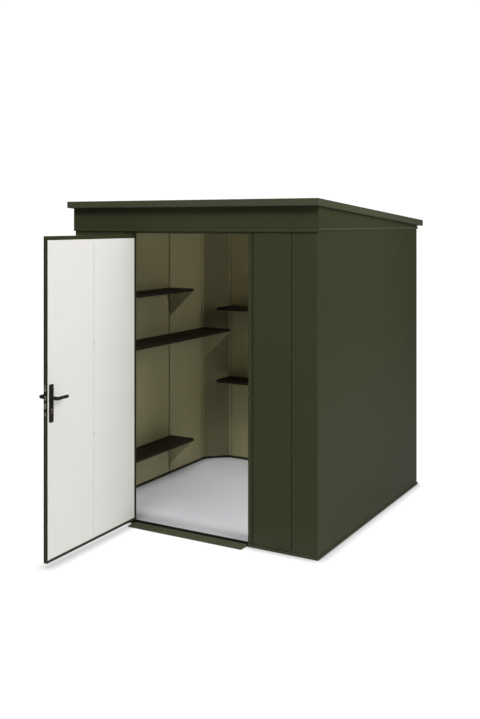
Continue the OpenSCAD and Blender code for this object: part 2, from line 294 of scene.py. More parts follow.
paintSkin = buildPaintSkin()
paintTone = buildPaintTone()
edgeWearAndHighlight = buildEdgeWearAndHighlight()
dustFilm = buildDustFilm()
roomSide = buildRoomSide()
brushLines = buildBrushLines()
for group in (paintSkin, paintTone, edgeWearAndHighlight, dustFilm, roomSide, brushLines):
    layOut(group)


def placeGroup(tree, group, place, **values):
    made = putNode(tree, "ShaderNodeGroup", node_tree=group)
    tree.links.new(place, made.inputs["Place"])
    for label, value in values.items():
        feed(tree, made.inputs[label.replace("_", " ")], value)
    return made


def startFinish(name):
    finish = bpy.data.materials.new(name)
    finish.use_nodes = True
    tree = finish.node_tree
    tree.nodes.clear()
    out = putNode(tree, "ShaderNodeOutputMaterial")
    shader = putNode(tree, "ShaderNodeBsdfPrincipled")
    tree.links.new(shader.outputs[0], out.inputs[0])
    place = putNode(tree, "ShaderNodeTexCoord").outputs["Object"]
    return finish, tree, shader, place


dustTone = (0.42, 0.40, 0.36)


# a paint, powder coat or plastic: tone, edges, dust and skin put together
def coatFinish(name, coat):
    finish, tree, shader, place = startFinish(name)
    tone = placeGroup(tree, paintTone, place, Colour=(*coat["colour"], 1),
                      Patch=coat.get("patch", 0.05), Fleck=coat.get("fleck", 0.03))
    colour = tone.outputs["Colour"]
    if "roomColour" in coat:
        reach = wallThick * 0.6    # more than half way through the wall counts as the room's side
        inside = placeGroup(tree, roomSide, place, Half_Width=halfW - reach, Half_Depth=backY - reach)
        roomTone = placeGroup(tree, paintTone, place, Colour=(*coat["roomColour"], 1),
                              Patch=coat.get("patch", 0.05), Fleck=coat.get("fleck", 0.03))
        colour = blendColours(tree, inside.outputs["Mask"], colour, roomTone.outputs["Colour"])
    # edges painted lighter: a painted highlight along the edges, with a little wear
    wearAndHighlight = placeGroup(tree, edgeWearAndHighlight, place, Width=coat.get("wearAndHighlightWidth", 0.0016))
    wearAndHighlightShare = sums(tree, "MULTIPLY", wearAndHighlight.outputs["Mask"], coat.get("wearAndHighlight", 0.25))
    colour = blendColours(tree, wearAndHighlightShare, colour, (*coat["wearAndHighlightColour"], 1))
    dust = placeGroup(tree, dustFilm, place)
    dustShare = sums(tree, "MULTIPLY", dust.outputs["Mask"], coat.get("dust", 0.06))
    colour = blendColours(tree, dustShare, colour, (*dustTone, 1))
    tree.links.new(colour, shader.inputs["Base Color"])
    rough = sums(tree, "MULTIPLY", tone.outputs["Roughness Shift"], 0.6)
    rough = sums(tree, "ADD", rough, coat["rough"])
    dulled = sums(tree, "MULTIPLY", dustShare, 1.5)
    rough = sums(tree, "ADD", rough, dulled, clamp=True)
    tree.links.new(rough, shader.inputs["Roughness"])
    skin = placeGroup(tree, paintSkin, place, Grain_Scale=coat.get("grainScale", 700.0),
                      Grain=coat.get("grain", 0.5), Wave=coat.get("wave", 0.5))
    bump = putNode(tree, "ShaderNodeBump")
    bump.inputs["Strength"].default_value = coat.get("bump", 0.6)
    bump.inputs["Distance"].default_value = coat.get("depth", 0.00006)
    tree.links.new(skin.outputs["Height"], bump.inputs["Height"])
    tree.links.new(bump.outputs["Normal"], shader.inputs["Normal"])
    shader.inputs["Specular IOR Level"].default_value = coat.get("gloss", 0.35)
    layOut(tree)
    return finish


def metalFinish(name, metal):
    finish, tree, shader, place = startFinish(name)
    lines = placeGroup(tree, brushLines, place, Scale=metal.get("lineScale", 60.0))
    tone = placeGroup(tree, paintTone, place, Colour=(*metal["colour"], 1), Patch=0.06, Fleck=0.05)
    # edges painted lighter: a painted highlight along the edges, with a little wear
    wearAndHighlight = placeGroup(tree, edgeWearAndHighlight, place, Width=0.0008, Break=300.0)
    colour = blendColours(tree, sums(tree, "MULTIPLY", wearAndHighlight.outputs["Mask"], 0.3),
                          tone.outputs["Colour"], (*metal["wearAndHighlightColour"], 1))
    tree.links.new(colour, shader.inputs["Base Color"])
    rough = sums(tree, "ADD", lines.outputs["Tone"], metal["rough"], clamp=True)
    tree.links.new(rough, shader.inputs["Roughness"])
    shader.inputs["Metallic"].default_value = 1.0
    bump = putNode(tree, "ShaderNodeBump")
    bump.inputs["Strength"].default_value = 0.3
    bump.inputs["Distance"].default_value = 0.00005
    tree.links.new(lines.outputs["Height"], bump.inputs["Height"])
    tree.links.new(bump.outputs["Normal"], shader.inputs["Normal"])
    layOut(tree)
    return finish


creamTone = (0.46, 0.43, 0.25)
coats = {
    "wallOlive": {"colour": (0.031, 0.034, 0.0130), "wearAndHighlightColour": (0.085, 0.09, 0.05), "rough": 0.50,
                  "roomColour": creamTone, "gloss": 0.18, "patch": 0.035},
    "frameOlive": {"colour": (0.032, 0.035, 0.0140), "wearAndHighlightColour": (0.085, 0.09, 0.05), "rough": 0.48,
                   "gloss": 0.18, "patch": 0.035},
    # a lighter olive than the walls, for trims, roof sheet and ramp; on the gable beads it is a painted
    # highlight
    "trimOliveAndHighlight": {"colour": (0.050, 0.055, 0.029), "wearAndHighlightColour": (0.11, 0.12, 0.08), "rough": 0.46,
                  "roomColour": creamTone, "gloss": 0.20, "patch": 0.035},
    "roomCream": {"colour": creamTone, "wearAndHighlightColour": (0.60, 0.58, 0.40), "rough": 0.5,
                  "wearAndHighlight": 0.35, "gloss": 0.3, "patch": 0.03},
    # a darker copy of the room cream: painted shade for the slanted faces of the corner posts
    "slantPaintedShade": {"colour": (0.26, 0.235, 0.135), "wearAndHighlightColour": (0.40, 0.38, 0.26), "rough": 0.5,
                   "wearAndHighlight": 0.2, "gloss": 0.25, "patch": 0.03},
    "doorCream": {"colour": (0.80, 0.79, 0.755), "wearAndHighlightColour": (0.80, 0.79, 0.76), "rough": 0.42,
                  "gloss": 0.3, "patch": 0.012, "fleck": 0.008},
    "shelfGraphite": {"colour": (0.030, 0.026, 0.019), "wearAndHighlightColour": (0.08, 0.075, 0.065), "rough": 0.62,
                      "grainScale": 420.0, "grain": 1.2, "dust": 0.02, "gloss": 0.08},
    "floorGrey": {"colour": (0.55, 0.56, 0.59), "wearAndHighlightColour": (0.62, 0.62, 0.64), "rough": 0.6,
                  "grainScale": 260.0, "grain": 1.5, "wave": 0.3, "patch": 0.02, "fleck": 0.02,
                  "dust": 0.03, "gloss": 0.2},
    "handleBlack": {"colour": (0.013, 0.0125, 0.0105), "wearAndHighlightColour": (0.09, 0.085, 0.08), "rough": 0.45,
                    "grainScale": 1400.0, "grain": 0.8, "wave": 0.0, "wearAndHighlight": 0.4, "wearAndHighlightWidth": 0.0009,
                    "dust": 0.0, "gloss": 0.18},
    "faceplateDark": {"colour": (0.005, 0.0055, 0.004), "wearAndHighlightColour": (0.03, 0.03, 0.025), "rough": 0.45,
                      "grain": 0.4, "wave": 0.0, "wearAndHighlightWidth": 0.0006, "dust": 0.0, "gloss": 0.12},
    # black rubber of the threshold sill; the same black is painted shade on the leaf's outer edge and in the
    # keyways
    "blackRubberAndShade": {"colour": (0.004, 0.004, 0.0035), "wearAndHighlightColour": (0.02, 0.02, 0.02), "rough": 0.75,
                   "grainScale": 900.0, "grain": 1.5, "wave": 0.0, "dust": 0.02, "gloss": 0.06},
}
metals = {
    "zincPlate": {"colour": (0.60, 0.60, 0.57), "wearAndHighlightColour": (0.85, 0.85, 0.83), "rough": 0.34},
    "latchSteel": {"colour": (0.34, 0.34, 0.30), "wearAndHighlightColour": (0.45, 0.44, 0.40), "rough": 0.38},
    "copperyBrass": {"colour": (0.42, 0.30, 0.22), "wearAndHighlightColour": (0.70, 0.55, 0.42), "rough": 0.30},
    "darkScrew": {"colour": (0.13, 0.12, 0.10), "wearAndHighlightColour": (0.35, 0.33, 0.30), "rough": 0.42},
}
finishes = {name: coatFinish(name, coat) for name, coat in coats.items()}
finishes.update({name: metalFinish(name, metal) for name, metal in metals.items()})
print("finishes ready:", len(finishes))


# ---- mesh helpers ----
# rounds the bends of a path of (u, v) or (u, v, radius) points
def roundBends(points, radius, steps=4, closed=False):
    done = []
    count = len(points)
    for i, point in enumerate(points):
        here = Vector(point[:2])
        bend = point[2] if len(point) > 2 else radius
        if bend <= 0 or (not closed and i in (0, count - 1)):
            done.append(here)
            continue
        before = Vector(points[i - 1][:2]) - here
        after = Vector(points[(i + 1) % count][:2]) - here
        reach = min(before.length, after.length) * 0.49
        before.normalize()
        after.normalize()
        half = before.angle(after) / 2
        if half > 1.55:
            done.append(here)
            continue
        cut = min(bend / math.tan(half), reach)
        bend = cut * math.tan(half)
        middle = here + (before + after).normalized() * (bend / math.sin(half))
        start = here + before * cut - middle
        stop = here + after * cut - middle
        first = math.atan2(start.y, start.x)
        turn = math.atan2(start.x * stop.y - start.y * stop.x, start.dot(stop))
        for s in range(steps + 1):
            angle = first + turn * s / steps
            done.append(middle + Vector((math.cos(angle), math.sin(angle))) * bend)
    return done


# gives a bent path the thickness of its sheet, on its left-hand side
def sheetOutline(path, thick):
    shifted = []
    for i, here in enumerate(path):
        ways = []
        if i > 0:
            ways.append((here - path[i - 1]).normalized())
        if i < len(path) - 1:
            ways.append((path[i + 1] - here).normalized())
        across = [Vector((-w.y, w.x)) for w in ways]
        mean = sum(across, Vector((0, 0))).normalized()
        shifted.append(here + mean * (thick / max(mean.dot(across[0]), 0.3)))
    return list(path) + shifted[::-1]


# joins copies of one outline at several stations, each a function from (u, v) to a place
def addLoft(bm, outline, stations, strip=False, loop=False):
    rings = [[bm.verts.new(station(p.x, p.y)) for p in outline] for station in stations]
    count = len(outline)
    pairs = list(zip(rings, rings[1:])) + ([(rings[-1], rings[0])] if loop else [])
    for one, two in pairs:
        for i in range(count):
            k = (i + 1) % count
            bm.faces.new((one[i], one[k], two[k], two[i]))
    if loop:
        return
    for ring in (rings[0], rings[-1]):
        if strip:
            for i in range(count // 2 - 1):
                bm.faces.new((ring[i], ring[i + 1], ring[count - 2 - i], ring[count - 1 - i]))
        else:
            bm.faces.new(ring)


# rings of points capped at both ends, used for plates and pans
def addRings(bm, place, rings):
    made = [[bm.verts.new(place @ Vector(p)) for p in ring] for ring in rings]
    count = len(made[0])
    for one, two in zip(made, made[1:]):
        for i in range(count):
            k = (i + 1) % count
            bm.faces.new((one[i], one[k], two[k], two[i]))
    bm.faces.new(made[0])
    bm.faces.new(made[-1])


# a plate with rounded corners and softened rims, lying in x and y and thick in z
def addPlate(bm, place, width, height, thick, corner, rim, steps=5):
    def ring(inset, z):
        w = width / 2 - inset
        h = height / 2 - inset
        bend = max(corner - inset, 0.00005)
        square = [(-w, -h), (w, -h), (w, h), (-w, h)]
        return [(p.x, p.y, z) for p in roundBends(square, bend, steps, closed=True)]
    arcs = [(rim * (1 - math.sin(a)), rim * (1 - math.cos(a))) for a in (0, 0.52, 1.05, 1.5708)]
    rings = [ring(inset, z) for inset, z in arcs]
    rings += [ring(inset, thick - z) for inset, z in arcs[::-1]]
    addRings(bm, place, rings)


# a turned piece from (radius, z) pairs; a wavy radius makes the star socket of a screw
def addTurned(bm, place, profile, segments=24):
    rings = []
    for item in profile:
        radius, z = item[:2]
        wave = item[2] if len(item) > 2 else 0.0
        ring = []
        for s in range(segments):
            angle = 2 * math.pi * s / segments
            r = radius * (1 + wave * math.cos(6 * angle))
            ring.append((r * math.cos(angle), r * math.sin(angle), z))
        rings.append(ring)
    addRings(bm, place, rings)


def facing(point, way, roll=0.0):
    turn = Vector(way).to_track_quat("Z", "Y").to_matrix().to_4x4()
    return Matrix.Translation(Vector(point)) @ turn @ Matrix.Rotation(roll, 4, "Z")


def addScrew(bm, point, way, radius=0.004, turn=0.0):
    profile = [(radius, -0.0004), (radius, radius * 0.16), (radius * 0.93, radius * 0.34),
               (radius * 0.74, radius * 0.52), (radius * 0.56, radius * 0.58),
               (radius * 0.47, radius * 0.56, 0.12), (radius * 0.42, radius * 0.22, 0.12)]
    addTurned(bm, facing(point, way, turn), profile, 18)


def addBar(bm, path, shape, segments=20):
    # shape gives (half width, half height) along the path, path is a list of places
    rings = []
    up = Vector((0, 0, 1))
    for i, here in enumerate(path):
        ahead = path[min(i + 1, len(path) - 1)] - path[max(i - 1, 0)]
        ahead.normalize()
        side = up.cross(ahead).normalized()
        wide, tall = shape[i]
        ring = []
        for s in range(segments):
            angle = 2 * math.pi * s / segments
            ring.append(here + side * (wide * math.cos(angle)) + up * (tall * math.sin(angle)))
        rings.append(ring)
    addRings(bm, Matrix.Identity(4), rings)


def finishPiece(name, bm, finish, body, slot, *replaced, sharp=35, second=None):
    bmesh.ops.recalc_face_normals(bm, faces=bm.faces)
    for face in bm.faces:
        face.smooth = True
    for edge in bm.edges:
        if len(edge.link_faces) == 2 and edge.calc_face_angle(0) > math.radians(sharp):
            edge.smooth = False
    mesh = bpy.data.meshes.new(name)
    bm.to_mesh(mesh)
    bm.free()
    piece = bpy.data.objects.new(name, mesh)
    bpy.context.scene.collection.objects.link(piece)
    mesh.materials.append(finishes[finish])
    if second:
        mesh.materials.append(finishes[second])
    soften = piece.modifiers.new("faceNormals", "WEIGHTED_NORMAL")
    soften.keep_sharp = True
    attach(piece, body)
    if replaced:
        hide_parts(*replaced)
    return piece


# a sheet-metal copy of a CAD node: same shape, welded, with its edges rolled over
def rolledCopy(node, name, roll, finish, slot, body="shed"):
    bm = bmesh.new()
    bm.from_mesh(nodes[node].data)
    bmesh.ops.remove_doubles(bm, verts=bm.verts, dist=0.00002)
    bmesh.ops.dissolve_limit(bm, angle_limit=0.01, verts=bm.verts, edges=bm.edges)
    edges = [e for e in bm.edges if len(e.link_faces) == 2 and e.calc_face_angle(0) > 0.3]
    bmesh.ops.bevel(bm, geom=edges, offset=roll, segments=3, profile=0.5, affect="EDGES",
                    clamp_overlap=True)
    return finishPiece(name, bm, finish, body, slot, node)


# ---- floor, rails, ramp ----
base = {"railRoll": 0.0025, "floorRoll": 0.001, "rampCorner": 0.005, "rampNose": 0.0028, "rampRim": 0.0012,
        "sealRibs": 5, "sealMargin": 0.006, "sealGroove": 0.002, "sealEdge": 0.0015, "ribRound": 0.0006,
        "grooveRound": 0.0004, "sealEndGap": 0.0002}
for side in ("front", "left", "right", "back"):
    rolledCopy("base_rail_" + side, "baseRail" + side.title(), base["railRoll"], "frameOlive", "olive_coat")
rolledCopy("floor_panel", "floorSheet", base["floorRoll"], "floorGrey", "floor_sheet")


# a wedge with rounded front corners and softened rims
def buildRamp():
    low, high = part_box("entry_ramp")
    bm = bmesh.new()
    run = high.y - low.y
    corner = base["rampCorner"]
    plan = roundBends([(low.x, high.y, 0), (low.x, low.y, corner), (high.x, low.y, corner),
                       (high.x, high.y, 0)], 0.0, 5, closed=True)

    def ring(inset, drop):
        spots = []
        for p in plan:
            x = p.x * (1 - inset / high.x)
            y = high.y - (high.y - p.y) * (1 - inset / run)
            crest = base["rampNose"] + (high.z - base["rampNose"]) * (y - low.y) / run
            spots.append((x, y, crest - drop))
        return spots
    rim = base["rampRim"]
    rings = [[(p.x, p.y, 0.0) for p in plan], ring(0.0, rim), ring(rim * 0.3, rim * 0.3), ring(rim, 0.0)]
    addRings(bm, Matrix.Identity(4), rings)
    finishPiece("entryRamp", bm, "trimOliveAndHighlight", "shed", "olive_coat", "entry_ramp")


# black ribbed sill between the ramp and the floor, as deep as the wall
def buildSeal():
    low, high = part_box("threshold_strip")
    bm = bmesh.new()
    margin = base["sealMargin"]
    groove = high.z - base["sealGroove"]
    pitch = (high.y - low.y - 2 * margin) / base["sealRibs"]
    edge, rib, hollow = base["sealEdge"], base["ribRound"], base["grooveRound"]
    points = [(low.y, 0), (low.y, high.z, edge)]
    for i in range(base["sealRibs"]):
        y = low.y + margin + pitch * i
        points += [(y, high.z, rib), (y + pitch * 0.2, groove, hollow), (y + pitch * 0.5, groove, hollow),
                   (y + pitch * 0.7, high.z, rib)]
    points += [(high.y, high.z, edge), (high.y, 0)]
    outline = roundBends(points, 0.0, 3, closed=True)
    ends = (low.x + base["sealEndGap"], high.x - base["sealEndGap"])
    addLoft(bm, outline, [lambda u, v, x=x: Vector((x, u, v)) for x in ends])
    finishPiece("thresholdSeal", bm, "blackRubberAndShade", "shed", "seal_strip", "threshold_strip")


buildRamp()
buildSeal()
print("base ready")

# ---- walls ----
wall = {
    "skin": 0.012, "skinBend": 0.002,
    "cornerBend": 0.005,
    "faceRoll": 0.0035,     # rolled edges of the outer sheets
    "footGap": 0.0012,      # open line above the rail
    "seamGap": 0.0013,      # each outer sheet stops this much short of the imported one
    "seam": 0.0015,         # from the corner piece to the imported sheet
    "lap": 0.0535,          # the inner joints lie this much further from the corner
    "edgeRoll": 0.003, "behind": 0.0004, "cornerExtra": 0.0003,
    "slant": 0.158, "slantBend": 0.004,
    "postGap": 0.0046, "sideGap": 0.012, "backGap": 0.003,
    "liningRoll": 0.0015, "liningSheet": 0.004, "liningFoot": 0.008,
    "packedGap": 0.0045,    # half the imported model's own joint
    "panelPitch": 0.504,
    "jambGap": 0.0035, "foldStrip": 0.009, "foldLine": 0.0012, "foldDeep": 0.0015, "foldRoll": 0.001,
}
wallFoot = railTop + wall["footGap"]    # an open line is left between the rail and the outer sheets


# one smooth sheet along a side, folded round both corners
def buildSideSkin(side, name, node):
    bm = bmesh.new()
    t = wall["skin"]
    x = halfW
    roll = wall["faceRoll"]
    inside = wall["skinBend"]
    end = postJoint + wall["seam"]
    outline = roundBends([
        (end, frontY, roll), (x, frontY, wall["cornerBend"]), (x, backY, wall["cornerBend"]),
        (end, backY, roll), (end, backY - t), (x - t, backY - t, inside),
        (x - t, frontY + t, inside), (end, frontY + t)], 0.0, 5, closed=True)
    outline = [Vector((p.x * side, p.y)) for p in outline]
    addLoft(bm, outline, [lambda u, v, z=z: Vector((u, v, z)) for z in (wallFoot, wallTop)])
    finishPiece(name, bm, "wallOlive", "shed", "olive_coat", node)


# what shows of a corner post inside: the slanted face and its two returns
def buildPost(sx, sy, name, node):
    bm = bmesh.new()
    t = wall["skin"] + wall["behind"]
    corner = halfW - postJoint
    joint = corner + wall["lap"] - wall["postGap"] / 2
    slant = wallThick + wall["slant"]
    wing = wallThick - wall["liningSheet"]
    roll = wall["liningRoll"]
    plan = [(t, t), (corner, t), (corner, wing), (joint, wing, 0), (joint, wallThick, roll),
            (slant, wallThick, wall["slantBend"]), (wallThick, slant, wall["slantBend"]),
            (wallThick, joint, roll), (wing, joint, 0), (wing, corner), (t, corner)]
    outline = roundBends(plan, 0.0, 5, closed=True)
    outline = [Vector((sx * (halfW - p.x), sy * (backY - p.y))) for p in outline]
    foot = railTop + wall["liningFoot"]
    addLoft(bm, outline, [lambda u, v, z=z: Vector((u, v, z)) for z in (foot, wallTop)])
    bm.normal_update()
    for face in bm.faces:
        if min(abs(face.normal.x), abs(face.normal.y)) > 0.5:
            face.material_index = 1    # the slanted face gets a darker cream: painted shade
    finishPiece(name, bm, "roomCream", "shed", "cream_coat", node, second="slantPaintedShade")


# a flat outer sheet with its edges rolled over
def addOuterSheet(bm, x0, x1, face, way, roll):
    place = facing(((x0 + x1) / 2, face - way * wall["skin"], (wallFoot + wallTop) / 2), (0, way, 0))
    addPlate(bm, place, abs(x1 - x0), wallTop - wallFoot, wall["skin"], roll + wall["cornerExtra"], roll, 3)


def buildFrontSheet(side, node):
    low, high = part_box(node)
    bm = bmesh.new()
    s, jambEnd, cornerEnd = (-1, high.x, low.x) if side == "left" else (1, low.x, high.x)
    # a narrow folded strip, set back a little, lies between the sheet and the jamb
    strip = jambEnd + s * wall["jambGap"]
    sheet = strip + s * (wall["foldStrip"] + wall["foldLine"])
    addOuterSheet(bm, sheet, cornerEnd - s * wall["seamGap"], frontY, -1, wall["faceRoll"])
    addOuterSheet(bm, strip, strip + s * wall["foldStrip"], frontY + wall["foldDeep"], -1, wall["foldRoll"])
    finishPiece("frontSheet" + side.title(), bm, "wallOlive", "shed", "olive_coat", node)
    bm = bmesh.new()
    x0, x1 = (low.x + wall["lap"], high.x) if side == "left" else (low.x, high.x - wall["lap"])
    depth = wallThick - wall["skin"] - wall["behind"]
    roll = wall["edgeRoll"]
    place = facing(((x0 + x1) / 2, frontY + wallThick - depth, (railTop + wallTop) / 2), (0, 1, 0))
    addPlate(bm, place, x1 - x0, wallTop - railTop, depth, roll + wall["cornerExtra"], roll, 3)
    finishPiece("frontLining" + side.title(), bm, "roomCream", "shed", "cream_coat", node)


# inner sheets of one wall between given joints; along is the axis they follow
def buildLining(name, node, joints, along, way, gap):
    low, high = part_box(node)
    bm = bmesh.new()
    thick = wall["liningSheet"]
    roll = wall["liningRoll"]
    foot = low.z + wall["liningFoot"]
    for one, two in zip(joints, joints[1:]):
        middle = (one + two) / 2
        if along == "y":
            face = low.x if way < 0 else high.x
            place = facing((face - way * thick, middle, (foot + high.z) / 2), (way, 0, 0))
        else:
            place = facing((middle, low.y - way * thick, (foot + high.z) / 2), (0, way, 0))
        addPlate(bm, place, two - one - gap, high.z - foot, thick, roll + wall["cornerExtra"], roll, 3)
    finishPiece(name, bm, "roomCream", "shed", "cream_coat", node)


def buildBackSkin():
    low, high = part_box("back_wall_outer")
    bm = bmesh.new()
    gap = wall["seamGap"]
    addOuterSheet(bm, low.x + gap, high.x - gap, backY, 1, wall["faceRoll"])
    finishPiece("wallSkinBack", bm, "wallOlive", "shed", "olive_coat", "back_wall_outer")


for sx, sideName in ((-1, "left"), (1, "right")):
    buildSideSkin(sx, "wallSkin" + sideName.title(), sideName + "_wall_outer")
    low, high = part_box(sideName + "_wall_inner")
    pitch = wall["panelPitch"]
    start = low.y - wall["packedGap"]
    stop = high.y + wall["packedGap"]
    buildLining("wallLining" + sideName.title(), sideName + "_wall_inner",
                [start, stop - 2 * pitch, stop - pitch, stop], "y", -sx, wall["sideGap"])
    for sy, endName in ((-1, "front"), (1, "back")):
        node = "corner_post_" + endName + "_" + sideName
        buildPost(sx, sy, "cornerPost" + endName.title() + sideName.title(), node)
    buildFrontSheet(sideName, "front_wall_" + sideName)
buildBackSkin()
low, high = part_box("back_wall_inner")
third = (high.x - low.x) / 3
buildLining("wallLiningBack", "back_wall_inner", [low.x, low.x + third, high.x - third, high.x], "x", -1,
            wall["backGap"])
print("walls ready")

# ---- door frame ----
frameParts = {"sheet": 0.0016, "bend": 0.003, "stopWide": 0.015, "stopThick": 0.009, "headRoll": 0.0015,
              "latchHole": (0.016, 0.030), "boltHole": (0.016, 0.044), "latchZ": 1.0565, "boltZ": 0.9605}
# turns a plate to lie on an upright edge
edgeTurn = Matrix.Rotation(math.pi / 2, 4, "Y") @ Matrix.Rotation(math.pi / 2, 4, "Z")


# hollow folded jamb; the right one has openings for the latch and the bolt
def buildJamb(side, name, node):
    bm = bmesh.new()
    low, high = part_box(node)
    inner = openR
    wide, stop = frameParts["stopWide"], frameParts["stopThick"]
    outer = inner + (high.x - low.x) - wide
    t = frameParts["sheet"]
    back = frontY + wallThick
    path = [(outer, back - 0.001), (outer, frontY), (inner, frontY), (inner, back - stop),
            (inner - wide, back - stop), (inner - wide, back), (inner + 0.004, back)]
    bent = roundBends(path, frameParts["bend"], 4)
    outline = sheetOutline(bent, -t)
    outline = [Vector((p.x * side, p.y)) for p in outline]
    ends = (low.z + 0.0002, wallTop)
    addLoft(bm, outline, [lambda u, v, z=z: Vector((u, v, z)) for z in ends], strip=True)
    return finishPiece(name, bm, "frameOlive", "shed", "olive_coat", node)


def cutHoles(piece, holes, depth, x, y):
    for wide, tall, z in holes:
        bm = bmesh.new()
        addPlate(bm, facing((x - depth / 2, y, z), (1, 0, 0)), tall, wide, depth, 0.003, 0.0001)
        bmesh.ops.recalc_face_normals(bm, faces=bm.faces)
        mesh = bpy.data.meshes.new("cutter")
        bm.to_mesh(mesh)
        bm.free()
        cutter = bpy.data.objects.new("cutter", mesh)
        bpy.context.scene.collection.objects.link(cutter)
        cut = piece.modifiers.new("hole", "BOOLEAN")
        cut.object = cutter
        cut.solver = "EXACT"
        cut.operation = "DIFFERENCE"
        bpy.context.view_layer.update()
        shown = bpy.context.evaluated_depsgraph_get()
        made = bpy.data.meshes.new_from_object(piece.evaluated_get(shown), depsgraph=shown)
        piece.modifiers.remove(cut)
        piece.data = made
        bpy.data.objects.remove(cutter)


leftJamb = buildJamb(-1, "doorJambLeft", "door_jamb_left")
rightJamb = buildJamb(1, "doorJambRight", "door_jamb_right")
rolledCopy("door_head", "doorHead", frameParts["headRoll"], "frameOlive", "olive_coat")
print("door frame ready")

# ---- band, gables, roof ----
band = {"sheet": 0.0015, "face": 0.007, "hemHigh": 0.0130, "hemOut": 0.0025, "groove": 0.0016,
        "lapGap": 0.0008, "capIn": 0.0016}
slack = 0.0002      # what lies under the roof stops this far short of it
aboveRoof = 9.0     # a height that the slope of the roof then cuts down


def buildBand():
    bm = bmesh.new()
    low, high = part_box("front_fascia")
    base0 = low.z
    face = band["face"]
    hem = base0 + band["hemHigh"]
    out = face + band["hemOut"]
    g = band["groove"]
    path = roundBends([
        (0.0005, base0, 0), (out, base0, 0.002), (out, hem, 0.003), (face - g, hem + 0.0035, 0.001),
        (face - g, hem + 0.0050, 0.0005), (face, hem + 0.0065, 0.0008), (face, aboveRoof, 0)],
        0.0, 5)
    outline = sheetOutline(path, band["sheet"])

    def at(x):
        return lambda u, v: Vector((x, frontY - u, min(v, roofUnder(frontY - u) - slack)))
    edge = halfW + face
    lap = postJoint
    for x0, x1 in ((-edge, -lap - band["lapGap"]), (-lap, lap), (lap + band["lapGap"], edge)):
        addLoft(bm, outline, [at(x0), at(x1)], strip=True)
    # end caps: the band folds round onto the sides of the shed
    heights = (hem + face, roofUnder(frontY) - slack)
    for s in (-1, 1):
        capLine = sheetOutline([Vector((edge, 0.0)), Vector((edge, face - band["capIn"]))], -band["sheet"])
        addLoft(bm, capLine, [lambda u, v, z=z: Vector((s * u, frontY - v, z)) for z in heights])
    inner = [(frontY + slack, wallTop), (frontY + wallThick, wallTop),
             (frontY + wallThick, roofUnder(frontY + wallThick) - slack),
             (frontY + slack, roofUnder(frontY) - slack)]
    reach = halfW - wallThick
    addLoft(bm, [Vector(p) for p in inner], [lambda u, v, x=x: Vector((x, u, v)) for x in (-reach, reach)])
    finishPiece("frontBand", bm, "wallOlive", "shed", "roof_coat", "front_fascia")


gable = {"bead": 0.018, "beadOut": 0.0050, "beadFace": 0.012}


def buildGable(side, name, node):
    bm = bmesh.new()
    low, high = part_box(node)
    outX = max(abs(low.x), abs(high.x))
    inX = halfW - wallThick
    bead = gable["bead"]
    path = roundBends([
        (inX, wallTop), (outX + gable["beadOut"], wallTop, 0.001),
        (outX + gable["beadOut"], wallTop + gable["beadFace"], 0.002),
        (outX, wallTop + bead, 0.001), (outX, aboveRoof), (inX, aboveRoof)], 0.0, 4, closed=True)

    def at(y):
        return lambda u, v: Vector((side * u, y, min(v, roofUnder(y) - slack)))
    addLoft(bm, path, [at(frontY + 0.0003), at(backY)])
    bm.normal_update()
    for face in bm.faces:
        middle = face.calc_center_median()
        if abs(middle.x) > outX - 0.001 and middle.z < wallTop + bead + 0.001 and face.normal.z > -0.3:
            face.material_index = 1    # the bead's upper and outer faces get the lighter trim olive, a painted highlight along the bead
    finishPiece(name, bm, "wallOlive", "shed", "olive_coat", node, second="trimOliveAndHighlight")


trim = {"sheet": 0.0016, "bend": 0.0032, "lipBend": 0.0010, "topFlange": 0.030, "mitreGap": 0.00025,
        "roll": 0.0015, "sideIn": 0.003}
buildBand()
buildGable(-1, "gableLeft", "gable_left")
buildGable(1, "gableRight", "gable_right")
rolledCopy("back_top_rail", "backTopRail", trim["roll"], "wallOlive", "olive_coat")
rolledCopy("roof_panel", "roofSheet", trim["roll"], "trimOliveAndHighlight", "roof_coat")

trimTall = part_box("roof_trim_front")[1].z - roofUnder(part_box("roof_trim_front")[0].y)


def trimOutline(deep):
    path = roundBends([
        (deep, 0.0, 0), (0.0, 0.0), (0.0, trimTall), (trim["topFlange"] + deep, trimTall, trim["lipBend"]),
        (trim["topFlange"] + deep, trimTall - trim["sheet"], 0)], trim["bend"], 5)
    return sheetOutline(path, -trim["sheet"])


def buildTrims():
    x1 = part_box("roof_trim_right")[1].x
    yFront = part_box("roof_trim_front")[0].y
    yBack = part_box("roof_trim_back")[1].y
    gap = trim["mitreGap"]
    sideDeep = x1 - halfW - trim["sideIn"]
    deeps = {"Front": frontY - band["face"] - yFront, "Back": yBack - backY,
             "Left": sideDeep, "Right": sideDeep}

    def frontAt(s):
        return lambda d, h: Vector((s * (x1 - d - gap), yFront + d, roofUnder(yFront + d) + h))

    def backAt(s):
        return lambda d, h: Vector((s * (x1 - d - gap), yBack - d, roofUnder(yBack - d) + h))

    def sideAt(s, front):
        def place(d, h):
            y = yFront + d + gap if front else yBack - d - gap
            return Vector((s * (x1 - d), y, roofUnder(y) + h))
        return place
    plans = {"Front": [frontAt(-1), frontAt(1)], "Back": [backAt(-1), backAt(1)],
             "Left": [sideAt(-1, True), sideAt(-1, False)], "Right": [sideAt(1, True), sideAt(1, False)]}
    for name, stations in plans.items():
        bm = bmesh.new()
        addLoft(bm, trimOutline(deeps[name]), stations, strip=True)
        finishPiece("roofTrim" + name, bm, "trimOliveAndHighlight", "shed", "roof_coat", "roof_trim_" + name.lower())


buildTrims()
print("roof ready")

# ---- shelves ----
shelf = {"sheet": 0.0022, "bend": 0.0025, "return": 0.012, "wallGap": 0.0004}
leftTrays = ("shelf_left_upper", "shelf_left_middle", "shelf_left_lower")
backTrays = ("shelf_back_upper", "shelf_back_lower")


